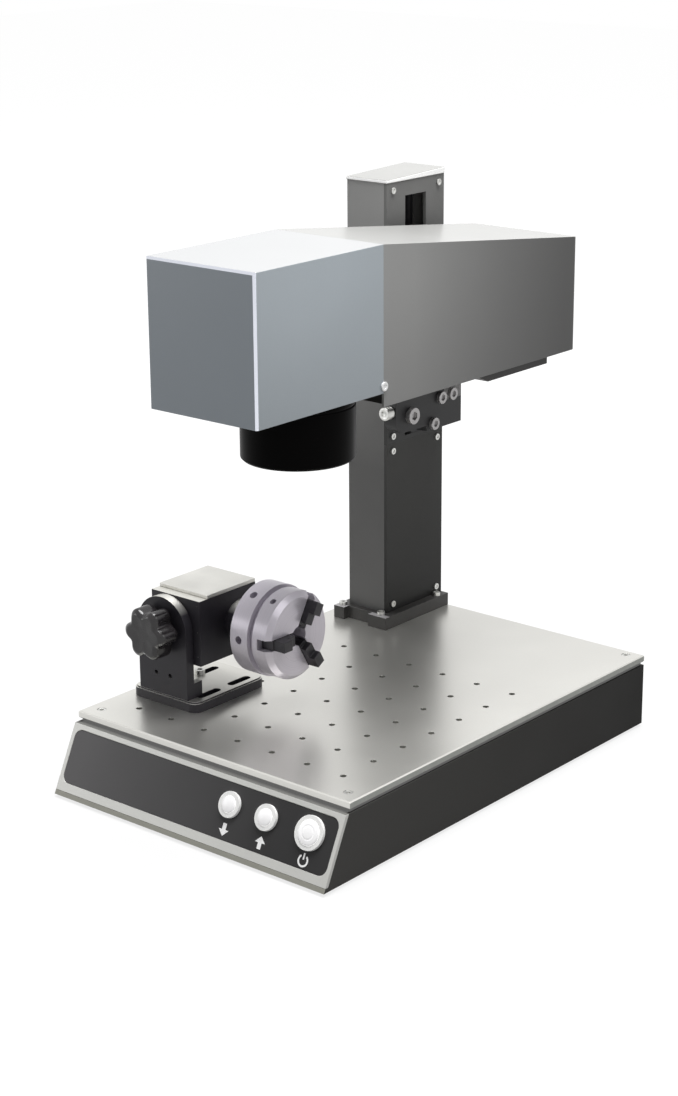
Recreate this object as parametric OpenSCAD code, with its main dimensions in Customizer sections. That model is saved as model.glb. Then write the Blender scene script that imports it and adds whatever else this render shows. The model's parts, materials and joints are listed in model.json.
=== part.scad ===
// Desktop fibre laser engraver: base with a tapped deck, motorised column,
// scanning head and tilting three-jaw rotary. Millimetres, +Z up, +Y to the rear.
// Origin: centre of the underside of the base. At rest the head is at its working height.

/* [Base] */
// Width of the base
base_w = 278; // [266:1:300]
// Depth of the base at its underside
base_d = 414; // [408:1:440]
// Height of the deck above the underside
base_h = 61; // [58:0.5:72]
// How far the front face leans back
front_run = 29.5; // [20:0.5:34]
// Thickness of the deck's visible slab
deck_t = 6; // [4:0.5:9]
// Pitch of the tapped holes in the deck
hole_pitch = 35; // [33:0.5:35]
// Radius of a tapped hole, drilled for M6
hole_r = 2.5; // [2:0.1:3]

/* [Column] */
// Width of the column, across the machine
col_w = 42; // [40:1:50]
// Depth of the column
col_d = 77; // [74:1:90]
// Height of the column above the deck
col_h = 388.5; // [380:0.5:420]
// Gap between the column and the head, filled by the arm
arm_gap = 22.15; // [20:0.5:26]
// Distance from the column's middle to the lens axis
lens_reach = 238.1; // [230:1:250]

/* [Head] */
// Width of the head
head_w = 105.7; // [102:0.5:112]
// Height of the scanner cover
front_h = 112.4; // [108:0.5:130]
// Length of the scanner cover
front_len = 141.4; // [136:0.5:160]
// Length of the laser housing behind it
rear_len = 252.7; // [250:1:270]
// Height of the scanner cover's underside above the deck
head_lift = 257.7; // [250:1:262]
// Radius of the scan lens barrel
lens_r = 44; // [42:0.5:45]
// Length of the scan lens barrel below the head
lens_len = 49.8; // [44:0.5:56]

/* [Rotary] */
// Height of the chuck's axis above the deck
rotary_h = 63.4; // [62:0.5:70]
// Outer radius of the chuck's scroll ring
ring_r = 37; // [36:0.5:40]
// Outer radius of the chuck's body
chuck_r = 35.5; // [34.5:0.5:36]
// Distance from the tilt axis to the chuck's front face
chuck_reach = 95.3; // [95:0.5:105]
// Width of one jaw
jaw_w = 8.4; // [7:0.2:9]

/* [Hidden] */
$fn = 64;

// Clearances and overruns
cut = 1;              // overrun of a cutting tool past a face
slip = 0.2;           // radial clearance of a screw or a loose plug in its hole
fit_gap = 0.1;        // clearance of a piece seated in a pocket
run_gap = 0.08;       // radial clearance of a turning shaft
face_gap = 0.3;       // gap between faces that move past each other

// Base shell
sheet_t = 3;
floor_t = 3.5;
deck_gap = 2.5;       // shadow gap under the deck's edge
deck_inset = 2;       // how far that gap is set in
deck_bevel = 0.9;
shell_top = base_h - deck_t - deck_gap;
front_tilt = atan(front_run / base_h);
front_t = sheet_t / cos(front_tilt);
y_front = -base_d / 2;
y_rear = base_d / 2;
y_deck = y_front + front_run;
x_side = base_w / 2;
foot_r = 9;
foot_h = 2.5;
foot_inset = 20;
foot_stem_r = 2.5;
foot_sink = 0.6;      // depth of the foot's seat in the floor
vent_w = 3;
vent_l = 50;
vent_step = 8;
vent_count = 9;
vent_y = -70;          // vents' middle from the base's

// Stations of the column, the head and the lens
col_back = 0.3;       // column's rear face ahead of the base's
col_yc = y_rear - col_back - col_d / 2;
col_y0 = col_yc - col_d / 2;
col_y1 = col_yc + col_d / 2;
col_x1 = -head_w / 2 - arm_gap;
col_x0 = col_x1 - col_w;
col_xc = col_x1 - col_w / 2;
col_top = base_h + col_h;
lens_y = col_yc - lens_reach;

// Tapped grid of the deck
grid_cols = 7;
grid_rows = 7;
grid_back = 30.6;     // middle of the grid behind the lens axis
grid_yc = lens_y + grid_back;
grid_x0 = -hole_pitch * (grid_cols - 1) / 2;
grid_y0 = grid_yc - hole_pitch * (grid_rows - 1) / 2;
cable_r = 6;          // cable hole under the column, behind the motor

// Screws: shank radius, head radius, head height
m3 = [1.5, 2.8, 1.4];
m4 = [2, 3.5, 3];
m5 = [2.5, 4.25, 4];
m6 = [3, 5.25, 3.3];
m8 = [4, 7, 4.4];
socket_share = 0.55;  // hex socket's radius over its head's radius
socket_deep_share = 0.5;

// Deck screws and the posts under them
screw_side = 12.5;
screw_front = 13.2;
screw_rear = 8.8;
deck_screw_len = 16;
post_w = 14;
post_d = 2 * (screw_rear - sheet_t);
post_xs = [x_side - screw_side, screw_side - x_side];
post_ys = [y_deck + screw_front, y_rear - screw_rear];

// Front panel, measured up the slope
inlay_side = 3.7;
inlay_low = 11.1;
inlay_high = 4.2;     // frame above the inlay
inlay_r = 7;
inlay_t = 1.5;
inlay_sink = 0.3;     // inlay's face behind the frame's
inlay_v1 = shell_top / cos(front_tilt) - inlay_high;
button_drop = 16.2;   // button centres below the inlay's upper edge
button_v = inlay_v1 - button_drop;
button_side = 26.3;
button_step = 42;     // power button to the next
button_pair = 36;     // between the two travel buttons
button_xs = [
    x_side - button_side - button_step - button_pair,
    x_side - button_side - button_step,
    x_side - button_side
];
small_button_r = 10;
big_button_r = 13;
button_rs = [small_button_r, small_button_r, big_button_r];
bezel_w = 2.2;        // bezel's overhang past its barrel
bezel_h = 2.2;
barrel_wall = 1.2;
barrel_len = 15;
barrel_end = 2;
contact_len = 12;
contact_share = 0.8;  // contact block's radius over the barrel's
cap_rise = 1.6;       // cap's face above the bezel
cap_len = 7;
cap_dome = 0.9;
cap_gap = 0.25;
nut_h = 3;
nut_wall = 2.8;

// Electrics in the base
psu_size = [97, 129, 30];
psu_gap = 9;          // from the left sheet
psu_back = 32;        // from the rear sheet
terminal_size = [90, 12, 14];
board_size = [104, 150, 1.6];
board_gap = 12;
board_back = 90;
standoff_r = 3;
standoff_h = 8;
standoff_in = 6;
chip_size = [22, 22, 3];
plug_size = [40, 9, 12];

// Rear sockets
mains_w = 56;
mains_h = 30;
mains_deep = 24;
mains_side = 47;      // mains module's middle from the base's right side
mains_x = x_side - mains_side;
mains_flange = 3;
bezel_t = 2;
inlet_w = 24;
inlet_h = 16.4;
inlet_deep = 17;
pin_size = [2, 8, 4];
pin_step = 7;
inlet_shift = 11;     // inlet's centre from the module's centre
rocker_w = 12;
rocker_h = 19;
rocker_shift = 15;
rocker_deep = 13;
rocker_tilt = 8;      // degrees the rocker leans when off
rocker_rise = 2.4;
signal_r = 8;
signal_flange_r = 10.5;
signal_deep = 16;
signal_bore_r = 5.5;
signal_bore = 10;
signal_shifts = [82, 56];
signal_xs = [for (shift = signal_shifts) mains_x - shift];
usb_w = 12.4;
usb_h = 11.4;
usb_deep = 16;
usb_shift = 112;
usb_x = mains_x - usb_shift;
usb_frame = 3;
usb_wall = 1.2;

// Column
foot_t = 11;
foot_side = 8;
foot_front = 12;
foot_notch_w = 27;
foot_notch_d = 6;
foot_notch_x = 4;     // notch's middle left of the column's
col_wall = 3;
side_t = 3;
rib_w = 9;
rib_d = 10;
col_screw_in = 8;
col_screw_len = 6;
cap_t = 5.5;          // cap's height at the rear
cap_t_front = 2.8;
cap_over = 0.8;
cover_split = 161.5;  // top of the lower cover above the deck
slot_w = 28;
slot_low = 4;         // slot's lower end above the split
slot_high = 12.5;     // slot's upper end below the cap
col_base = base_h + foot_t;
split_z = base_h + cover_split;
col_lid_z = col_top - cap_t;
slot_z0 = split_z + slot_low;
slot_z1 = col_lid_z - slot_high;
low_screw_z = 6.5;
high_screw_z = 6.5;

// Lift drive inside the column
motor_s = 34;
motor_h = 36;
motor_bevel = 3;
shaft_r = 2.5;
shaft_in = 5;
coupling_r = 9;
coupling_h = 20;
coupling_gap = 4;
screw_r = 4;
support_t = 6;
support_gap = 4;
bearing_r = 8;
bearing_h = 5;
rod_r = 4;
rod_step = 16;
rod_sink = 4;
lift_z0 = col_base + motor_h + coupling_gap;
low_support_z = lift_z0 + coupling_h + support_gap;
top_support_z = col_lid_z - support_gap - support_t;

// Carriage and arm
carriage_h = 60;
carriage_up = 235;    // carriage block's underside above the deck at rest
carriage_gap = 1;     // to the channel's walls
bush_r = 7.5;
bush_h = 24;
nut_r = 6;
neck_gap = 1;
skid_gap = 2;         // outer block to the column
skid_front = 18;      // outer block's reach ahead of the column's middle
skid_back = 35;
skid_drop = 65;       // outer block's reach below the carriage block
arm_t = 12;
arm_z0 = 172;         // arm plate's lower edge above the deck
arm_top = 12.5;       // arm plate's upper edge above the scanner cover's underside
arm_front = 12;
arm_back = 36;
nose_front = 54;      // nose's tip ahead of the column's middle
nose_z0 = 177;
nose_h = 34;
nose_r = 12;
arm_bolt_places = [[6.6, 198.3], [21.8, 198.8], [-3.4, 177.5]];
nose_bolt_place = [-33.9, 190.5];
arm_bolt_len = 17;
nose_bolt_len = 10;
neck_screw_len = 16;
neck_screw_in = 15;   // screws into the neck, from its upper and lower ends
chassis_bolt_len = 16;
chassis_bolt_places = [-2, 28];
thumb_r = 5.6;
thumb_h = 8;
thumb_shank = 14;
thumb_up = 196;
flute_r = 0.7;
flute_count = 16;
car_z0 = base_h + carriage_up;
car_z1 = car_z0 + carriage_h;
arm_x1 = -head_w / 2;
arm_x0 = arm_x1 - arm_t;
pad_x0 = col_x1 + skid_gap;
neck_screw_x = arm_x0 - m6[2] - slip;
neck_screw_zs = [car_z0 + neck_screw_in, car_z1 - neck_screw_in];
thumb_x = (arm_x0 + arm_x1) / 2;
thumb_z = base_h + thumb_up;
nose_y0 = col_yc - nose_front;

// Head
cover_t = 2;
chassis_t = 8;
rear_drop = 10.5;     // laser housing's underside below the scanner cover's
roof_fall = 29.2;     // fall of the roof to the rear
rear_r = 5;           // radius of the rear corners
front_over = 103.7;   // scanner cover ahead of the lens axis
head_z = base_h + head_lift;
head_y0 = lens_y - front_over;
seam_y = head_y0 + front_len;
head_y1 = seam_y + rear_len;
head_top = head_z + front_h;
rear_z0 = head_z - rear_drop;
chassis_x = head_w / 2 - cover_t;
chassis_z1 = head_z + chassis_t;
seam_screw_up = 5.6;
seam_screw = [1.5, 3.6, 1.4];
seam_screw_len = 7;
tray_t = 2.5;
tray_h = 8.9;
tray_x = 44;
tray_front = 117.8;     // tray's front end behind the seam
tray_len = 107.5;
tray_nose = 26;

// Scan lens
barrel_bevel = 1.5;
neck_r = 40;
window_lip = 3;
window_r = 36;
window_t = 3;
ledge_r = 31;
ledge_t = 8;
element_edge = 5;
element_bulge = 4;
crown_steps = 6;
lens_z0 = head_z - lens_len;

// Scanner
scan_up = 27.3;       // beam height above the head's underside
scan_side = 16;       // first mirror's axis beside the lens axis
galvo_wall = 6;
galvo_x = 45;
galvo_y = 48;
galvo_h = 44;
galvo_r = 7;
galvo_len = 45;
galvo_in = 2;         // galvo's nose inside the block
pivot_r = 1.5;
pivot_in = 8;
mirror_t = 2;
mirror_a = [13, 12];
mirror_b = [18, 16];
beam_r = 8;
galvo_z1 = chassis_z1 + galvo_h;
beam_z = head_z + scan_up;

// Laser source and fan
laser_x = 40;
laser_h = 57;
laser_gap = 26;       // behind the scanner block
laser_back = 9.4;     // rear face ahead of the fan
tube_r = 9;
pointer_r = 5;
pointer_step = 17;
fan_s = 68;
fan_t = 15;
fan_bore_r = 32;
fan_hub_r = 12;
fan_disc_t = 3;
fan_arm_w = 4;
fan_pin_r = 1.5;
blade_count = 7;
blade_t = 1.2;
blade_pitch = 38;
blade_gap = 1;
blade_chord = 9;
grille_w = 3;
grille_step = 7;
grille_r = 30;
fan_zc = chassis_z1 + fan_s / 2;
fan_y1 = head_y1 - cover_t;
laser_y0 = lens_y + galvo_y + laser_gap;
laser_y1 = fan_y1 - fan_t - laser_back;

// Rotary
chuck_side = 1.7;     // chuck's front face left of the lens axis
chuck_x1 = -chuck_side;
pivot_x = chuck_x1 - chuck_reach;
rot_y = lens_y;
rot_z = base_h + rotary_h;
rbase_left = 34.5;
rbase_right = 36.3;
rbase_front = 55.9;
rbase_back = 26.3;
rbase_t = 8.4;
rbase_r = 8;
rbase_bevel = 1.2;
rslot_w = 6.6;
rslot_len = 24;
rslot_shift = 8.5;    // slots' middles behind their deck holes
rslot_web = 3;        // least wall between a slot and the base plate's edge
rslot_cols = [0, 1];
rslot_rows = [1, 2];
hold_len = 13;
arch_r = 26;
upright_t = 8;
upright_back = 46.4;  // upright's rear face ahead of the chuck's axis
lug_t = 6;
lug_d = 9;
lug_h = 12.5;
ear_hole_r = 1.8;
ear_hole_step = 15;
ear_hole_drop = 38.4;
up_y1 = rot_y - upright_back;
up_y0 = up_y1 - upright_t;
rbase_z1 = base_h + rbase_t;
stud_r = 5;
stud_len = 21;
knob_r = 21.5;
knob_len = 21.7;
knob_lobes = 6;
scallop_r = 14;
scallop_share = 0.35; // scallop's depth over its radius
knob_boss_r = 12;
knob_boss_h = 3;

// Rotary housing
hous_left = 18;
hous_right = 33.5;
hous_back = 18.6;
hous_below = 27;
hous_above = 26.6;
hous_front_wall = 10.7;
hous_wall = 4;
hous_right_wall = 8;
hous_screw_in = 3;
hous_screw_r = 1;
hous_screw_share = [0.12, 0.5, 0.9];
boss_r = 17;
boss_len = 17.5;
lid_t = 3;
lid_setback = 9;
hous_x0 = pivot_x - hous_left;
hous_x1 = pivot_x + hous_right;
hous_y0 = up_y1 + face_gap;
hous_y1 = rot_y + hous_back;
hous_z0 = rot_z - hous_below;
hous_z1 = rot_z + hous_above;
bore_clear_r = 8.5;
left_bearing_r = 10;
right_bearing_r = 12;
right_bearing_w = 9;
bearing_sink = 1;
spindle_r = 7;
spindle_bore_r = 5;
spindle_end = 1;
stepper_s = 28;
stepper_len = 28;
stepper_gap = 9.4;    // belt space beside the left wall
stepper_shaft_r = 2;
stepper_shaft_in = 5;
pulley_gap = 0.7;
pulley_w = 7;
small_pulley_r = 5;
big_pulley_r = 12;
belt_t = 1.2;
belt_w = 6;
belt_gap = 0.15;
stepper_y = hous_y0 + hous_front_wall + stepper_s / 2;
stepper_z = hous_z0 + hous_wall + stepper_s / 2;
cavity_x0 = hous_x0 + hous_wall;
pulley_x0 = cavity_x0 + pulley_gap;

// Chuck
body_len = 17;
neck_len = 3.7;
neck_r_share = 0.93;
face_r_share = 0.893;
body_bevel = 3.8;
body_bore_r = 8;
ring_len = 17.5;
flange_t = 4;
flange_r = 28;
hub_r = 16;
tommy_r = 3.2;
tommy_deep = 8;
tommy_count = 6;
body_tommy_r = 2.6;
jaw_angles = [60, 180, 300];
jaw_in = 8;
jaw_out = 30;
jaw_step_in = 10.5;
jaw_step_out = 29;
jaw_top_in = 19;
jaw_sink = 12;
jaw_step_h = 5.5;
jaw_top_h = 10.5;
body_x0 = chuck_x1 - body_len;
neck_x0 = body_x0 - neck_len;
ring_x1 = neck_x0 - face_gap;
ring_x0 = ring_x1 - ring_len;
flange_x1 = ring_x0 - face_gap;
flange_x0 = flange_x1 - flange_t;

// Box between two opposite corners
module block(lo, hi) {
    translate(lo) cube(hi - lo);
}

// Prism of a y-z outline along x
module prism_x(x0, x1) {
    translate([x0, 0, 0]) rotate([90, 0, 90]) linear_extrude(x1 - x0) children();
}

// Prism of an x-z outline along y
module prism_y(y0, y1) {
    translate([0, y1, 0]) rotate([90, 0, 0]) linear_extrude(y1 - y0) children();
}

// Prism of an x-y outline along z
module prism_z(z0, z1) {
    translate([0, 0, z0]) linear_extrude(z1 - z0) children();
}

module rod_x(r, x0, x1) {
    translate([x0, 0, 0]) rotate([0, 90, 0]) cylinder(r = r, h = x1 - x0);
}

module rod_y(r, y0, y1) {
    translate([0, y1, 0]) rotate([90, 0, 0]) cylinder(r = r, h = y1 - y0);
}

module rod_z(r, z0, z1) {
    translate([0, 0, z0]) cylinder(r = r, h = z1 - z0);
}

// Rectangle with round corners
module round_rect(lo, hi, r) {
    translate([lo.x + r, lo.y]) square([hi.x - lo.x - 2 * r, hi.y - lo.y]);
    translate([lo.x, lo.y + r]) square([hi.x - lo.x, hi.y - lo.y - 2 * r]);
    for (x = [lo.x + r, hi.x - r], y = [lo.y + r, hi.y - r])
        translate([x, y]) circle(r = r);
}

// Outline of a rectangle with cut corners
module bevel_rect(lo, hi, b) {
    polygon([
        [lo.x + b, lo.y], [hi.x - b, lo.y], [hi.x, lo.y + b], [hi.x, hi.y - b],
        [hi.x - b, hi.y], [lo.x + b, hi.y], [lo.x, hi.y - b], [lo.x, lo.y + b]
    ]);
}

// Cap screw with its head seated on z = 0 and its shank downwards
module cap_screw(size, len) {
    difference() {
        union() {
            rod_z(size[1], 0, size[2]);
            rod_z(size[0], -len, size[2] / 2);
        }
        translate([0, 0, size[2] * (1 - socket_deep_share)])
            cylinder(r = size[1] * socket_share, h = size[2], $fn = 6);
    }
}

// The same screw with its head on a face that looks along +x
module cap_screw_x(size, len) {
    rotate([0, 90, 0]) cap_screw(size, len);
}

// Local frame of the front face: x across, y up the slope, z outwards
module on_front() {
    translate([0, y_front, 0]) rotate([90 - front_tilt, 0, 0]) children();
}

// Frame with its origin on the chuck's axis, turned about it
module on_chuck(turn = 0) {
    translate([0, rot_y, rot_z]) rotate([turn, 0, 0]) children();
}

function face_y(z) = y_front + front_run * z / base_h;

module foot_places() {
    for (x = [foot_inset - x_side, x_side - foot_inset])
        for (y = [y_front + foot_inset, y_rear - foot_inset])
            translate([x, y, 0]) children();
}

module feet() {
    color("#202020") foot_places() {
        rod_z(foot_r, -foot_h, foot_sink);
        rod_z(foot_stem_r, -foot_h / 2, floor_t);
    }
}

module base_floor() {
    x_in = x_side - sheet_t;
    color("#2E2D2B") difference() {
        union() {
            prism_x(-x_in, x_in) polygon([
                [y_front, 0], [y_rear - sheet_t, 0],
                [y_rear - sheet_t, floor_t], [face_y(floor_t), floor_t]
            ]);
            prism_x(-x_side, x_side) polygon([
                [y_front, 0], [y_front + front_t, 0],
                [face_y(floor_t) + front_t, floor_t], [face_y(floor_t), floor_t]
            ]);
        }
        foot_places() {
            rod_z(foot_stem_r + fit_gap, -cut, floor_t + cut);
            rod_z(foot_r + fit_gap, -cut, foot_sink);
        }
        for (i = [0 : vent_count - 1])
            block(
                [(i - (vent_count - 1) / 2) * vent_step - vent_w / 2, vent_y - vent_l / 2, -cut],
                [(i - (vent_count - 1) / 2) * vent_step + vent_w / 2, vent_y + vent_l / 2,
                    floor_t + cut]
            );
    }
}

module side_panels() {
    color("#3A3937") for (side = [0, 1]) mirror([side, 0, 0])
        prism_x(x_side - sheet_t, x_side) polygon([
            [y_front + front_t, 0], [y_rear, 0],
            [y_rear, shell_top], [face_y(shell_top) + front_t, shell_top]
        ]);
}

socket_z = (floor_t + shell_top) / 2;
mains_x0 = mains_x - mains_w / 2;
mains_x1 = mains_x + mains_w / 2;

module rear_panel() {
    x_in = x_side - sheet_t;
    color("#3A3937") difference() {
        block([-x_in, y_rear - sheet_t, 0], [x_in, y_rear, shell_top]);
        block(
            [mains_x0 + mains_flange - slip, y_rear - sheet_t - cut,
                socket_z - mains_h / 2 + mains_flange - slip],
            [mains_x1 - mains_flange + slip, y_rear + cut,
                socket_z + mains_h / 2 - mains_flange + slip]
        );
        block(
            [usb_x - usb_w / 2 - usb_wall - slip, y_rear - sheet_t - cut,
                socket_z - usb_h / 2 - usb_wall - slip],
            [usb_x + usb_w / 2 + usb_wall + slip, y_rear + cut,
                socket_z + usb_h / 2 + usb_wall + slip]
        );
        for (x = signal_xs) translate([x, 0, socket_z])
            rod_y(signal_r + slip, y_rear - sheet_t - cut, y_rear + cut);
    }
}

module inlay_outline(grow) {
    round_rect(
        [inlay_side - x_side - grow, inlay_low - grow],
        [x_side - inlay_side + grow, inlay_v1 + grow], inlay_r + grow
    );
}

// Barrel radius of button i
function barrel_r(i) = button_rs[i] - bezel_w;

module barrel_holes() {
    on_front() for (i = [0, 1, 2])
        translate([button_xs[i], button_v, 0])
            rod_z(barrel_r(i) + slip, -2 * sheet_t, cut);
}

// Sloped frame with a flange behind its upper edge, under the deck
module front_frame() {
    x_in = x_side - sheet_t;
    y_in = post_ys[0] - post_d / 2 - face_gap;
    color("#C8C8C4") difference() {
        union() {
            prism_x(-x_side, x_side) polygon([
                [face_y(floor_t), floor_t], [face_y(floor_t) + front_t, floor_t],
                [face_y(shell_top) + front_t, shell_top], [face_y(shell_top), shell_top]
            ]);
            prism_x(-x_in, x_in) polygon([
                [face_y(shell_top - sheet_t), shell_top - sheet_t],
                [y_in, shell_top - sheet_t], [y_in, shell_top],
                [face_y(shell_top), shell_top]
            ]);
        }
        on_front() prism_z(-inlay_t - inlay_sink, cut) inlay_outline(fit_gap);
        barrel_holes();
    }
}

module front_inlay() {
    color("#2D2B2C") difference() {
        on_front() prism_z(-inlay_t - inlay_sink, -inlay_sink) inlay_outline(0);
        barrel_holes();
    }
}

module corner_posts() {
    color("#9A9A98") for (side = [0, 1]) mirror([side, 0, 0]) for (y = post_ys)
        difference() {
            block(
                [x_side - sheet_t - post_w, y - post_d / 2, floor_t],
                [x_side - sheet_t, y + post_d / 2, shell_top]
            );
            translate([x_side - screw_side, y, 0])
                rod_z(m4[0] + slip, shell_top - deck_screw_len, shell_top + cut);
        }
}

foot_x0 = col_x0 - foot_side;
foot_x1 = col_x1 + foot_side;
foot_y0 = col_y0 - foot_front;
notch_x0 = col_xc - foot_notch_x - foot_notch_w / 2;
notch_x1 = notch_x0 + foot_notch_w;
foot_screws = [
    [(foot_x0 + notch_x0) / 2, foot_y0 + foot_front / 2],
    [(foot_x1 + notch_x1) / 2, foot_y0 + foot_front / 2],
    [col_x0 - foot_side / 2, col_y1 - foot_front],
    [col_x1 + foot_side / 2, col_y1 - foot_front]
];
foot_screw_deep = 6;
cable_y = col_yc + (motor_s / 2 + col_d / 2 - col_wall) / 2;

module deck_plate() {
    color("#DCDCD8") difference() {
        union() {
            intersection() {
                prism_x(-x_side, x_side)
                    bevel_rect([y_deck, base_h - deck_t], [y_rear, base_h], deck_bevel);
                prism_y(y_deck, y_rear)
                    bevel_rect([-x_side, base_h - deck_t], [x_side, base_h], deck_bevel);
            }
            block(
                [deck_inset - x_side, y_deck + deck_inset, shell_top],
                [x_side - deck_inset, y_rear - deck_inset, base_h - deck_t / 2]
            );
        }
        for (i = [0 : grid_cols - 1], j = [0 : grid_rows - 1])
            translate([grid_x0 + i * hole_pitch, grid_y0 + j * hole_pitch, 0])
                rod_z(hole_r, shell_top - cut, base_h + cut);
        for (x = post_xs, y = post_ys) translate([x, y, 0]) {
            rod_z(m4[0] + slip, shell_top - cut, base_h + cut);
            rod_z(m4[1] + slip, base_h - m4[2] - slip, base_h + cut);
        }
        for (p = foot_screws) translate([p.x, p.y, 0])
            rod_z(m4[0] + slip, base_h - foot_screw_deep - slip, base_h + cut);
        translate([col_xc, cable_y, 0]) rod_z(cable_r, shell_top - cut, base_h + cut);
    }
}

// Places of the small screws on the column's right side
col_screw_ys = [col_y0 + col_screw_in, col_y1 - col_screw_in];
cover_screw_zs = [col_base + low_screw_z, split_z - low_screw_z];
plate_screw_zs = [split_z + low_screw_z, col_lid_z - high_screw_z];

module frame_screws() {
    color("#B8B8B4") {
        for (x = post_xs, y = post_ys)
            translate([x, y, base_h - m4[2] - slip]) cap_screw(m4, deck_screw_len / 2);
        for (p = foot_screws)
            translate([p.x, p.y, col_base]) cap_screw(m4, foot_t + foot_screw_deep);
        for (y = col_screw_ys, z = concat(cover_screw_zs, plate_screw_zs))
            translate([col_x1, y, z]) cap_screw_x(m3, col_screw_len + side_t);
        for (j = rslot_rows)
            translate([grid_x0, grid_y0 + j * hole_pitch, rbase_z1])
                cap_screw([hole_r - fit_gap, m5[1], m5[2]], hold_len);
    }
}

module button_switches() {
    for (i = [0, 1, 2]) on_front() translate([button_xs[i], button_v, 0]) {
        bore = barrel_r(i) - barrel_wall;
        color("#ECECEA") difference() {
            union() {
                rod_z(button_rs[i], -inlay_sink, bezel_h);
                rod_z(barrel_r(i), -barrel_len, 0);
            }
            rod_z(bore, barrel_end - barrel_len, bezel_h + cut);
        }
        color("#2B2B2B")
            rod_z(barrel_r(i) * contact_share, -barrel_len - contact_len, -barrel_len);
        color("#B8B8B4") difference() {
            translate([0, 0, -sheet_t - nut_h])
                cylinder(r = barrel_r(i) + nut_wall, h = nut_h, $fn = 6);
            rod_z(barrel_r(i) + fit_gap, -sheet_t - nut_h - cut, cut - sheet_t);
        }
    }
}

// Domed cap of button i, in its barrel
module button_cap(i) {
    r = barrel_r(i) - barrel_wall - cap_gap;
    top = bezel_h + cap_rise;
    sphere_r = (r * r + cap_dome * cap_dome) / (2 * cap_dome);
    color("#F7F6F7") on_front() translate([button_xs[i], button_v, 0]) {
        rod_z(r, top - cap_len, top - cap_dome);
        intersection() {
            rod_z(r, top - 2 * cap_dome, top + cut);
            translate([0, 0, top - sphere_r]) sphere(r = sphere_r);
        }
    }
}

module button_down() {
    button_cap(0);
}

module button_up() {
    button_cap(1);
}

module button_power() {
    button_cap(2);
}

module power_supply() {
    lo = [sheet_t + psu_gap - x_side, y_rear - sheet_t - psu_back - psu_size.y, floor_t];
    color("#A8A8A4") difference() {
        block(lo, lo + psu_size);
        block(
            [lo.x + (psu_size.x - terminal_size.x) / 2, lo.y - cut, lo.z + terminal_size.z],
            [lo.x + (psu_size.x + terminal_size.x) / 2, lo.y + terminal_size.y,
                lo.z + psu_size.z + cut]
        );
    }
}

module control_board() {
    x0 = x_side - sheet_t - board_gap - board_size.x;
    y0 = y_rear - sheet_t - board_back - board_size.y;
    z0 = floor_t + standoff_h;
    z1 = z0 + board_size.z;
    color("#2F6B3A") union() {
        block([x0, y0, z0], [x0, y0, z0] + board_size);
        for (x = [x0 + standoff_in, x0 + board_size.x - standoff_in])
            for (y = [y0 + standoff_in, y0 + board_size.y - standoff_in])
                translate([x, y, 0]) rod_z(standoff_r, floor_t, z0 + board_size.z / 2);
        for (i = [1, 2, 3])
            translate([x0 + board_size.x / 2 - chip_size.x / 2,
                y0 + i * board_size.y / 4 - chip_size.y / 2, z1 - board_size.z / 2])
                cube(chip_size);
        for (y = [y0, y0 + board_size.y - plug_size.y])
            translate([x0 + board_size.x / 2 - plug_size.x / 2, y, z1 - board_size.z / 2])
                cube(plug_size);
    }
}

module rear_sockets() {
    y_face = y_rear + bezel_t;
    color("#1E1E1E") difference() {
        union() {
            block([mains_x0, y_rear, socket_z - mains_h / 2],
                [mains_x1, y_face, socket_z + mains_h / 2]);
            block([mains_x0 + mains_flange, y_rear - mains_deep,
                    socket_z - mains_h / 2 + mains_flange],
                [mains_x1 - mains_flange, y_face, socket_z + mains_h / 2 - mains_flange]);
        }
        difference() {
            block([mains_x + inlet_shift - inlet_w / 2, y_face - inlet_deep,
                    socket_z - inlet_h / 2],
                [mains_x + inlet_shift + inlet_w / 2, y_face + cut, socket_z + inlet_h / 2]);
            for (i = [-1, 0, 1])
                translate([mains_x + inlet_shift + i * pin_step - pin_size.x / 2,
                    y_face - inlet_deep - cut, socket_z - pin_size.z / 2])
                    cube(pin_size + [0, cut, 0]);
        }
        block([mains_x - rocker_shift - rocker_w / 2 - slip, y_face - rocker_deep,
                socket_z - rocker_h / 2 - cut / 2],
            [mains_x - rocker_shift + rocker_w / 2 + slip, y_face + cut,
                socket_z + rocker_h / 2 + cut / 2]);
    }
    color("#B8B8B4") difference() {
        union() {
            block([usb_x - usb_w / 2 - usb_frame, y_rear, socket_z - usb_h / 2 - usb_frame],
                [usb_x + usb_w / 2 + usb_frame, y_face, socket_z + usb_h / 2 + usb_frame]);
            block([usb_x - usb_w / 2 - usb_wall, y_rear - usb_deep,
                    socket_z - usb_h / 2 - usb_wall],
                [usb_x + usb_w / 2 + usb_wall, y_face, socket_z + usb_h / 2 + usb_wall]);
        }
        block([usb_x - usb_w / 2, y_rear - usb_deep + usb_wall, socket_z - usb_h / 2],
            [usb_x + usb_w / 2, y_face + cut, socket_z + usb_h / 2]);
    }
    color("#B8B8B4") for (x = signal_xs) translate([x, 0, socket_z]) difference() {
        union() {
            rod_y(signal_flange_r, y_rear, y_face);
            rod_y(signal_r, y_rear - signal_deep, y_face);
        }
        rod_y(signal_bore_r, y_face - signal_bore, y_face + cut);
    }
}

// Rocker, leaning to its off side
module mains_switch() {
    half = rocker_h / 2 - 2 * slip;
    color("#5A1414")
        translate([mains_x - rocker_shift, y_rear + bezel_t - rocker_rise, socket_z])
        rotate([rocker_tilt, 0, 0])
        prism_x(-rocker_w / 2, rocker_w / 2) polygon([
            [-rocker_h / 3, -half / 3], [0, -half], [2 * rocker_rise, -half],
            [rocker_rise, 0], [2 * rocker_rise, half], [0, half], [-rocker_h / 3, half / 3]
        ]);
}

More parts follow.
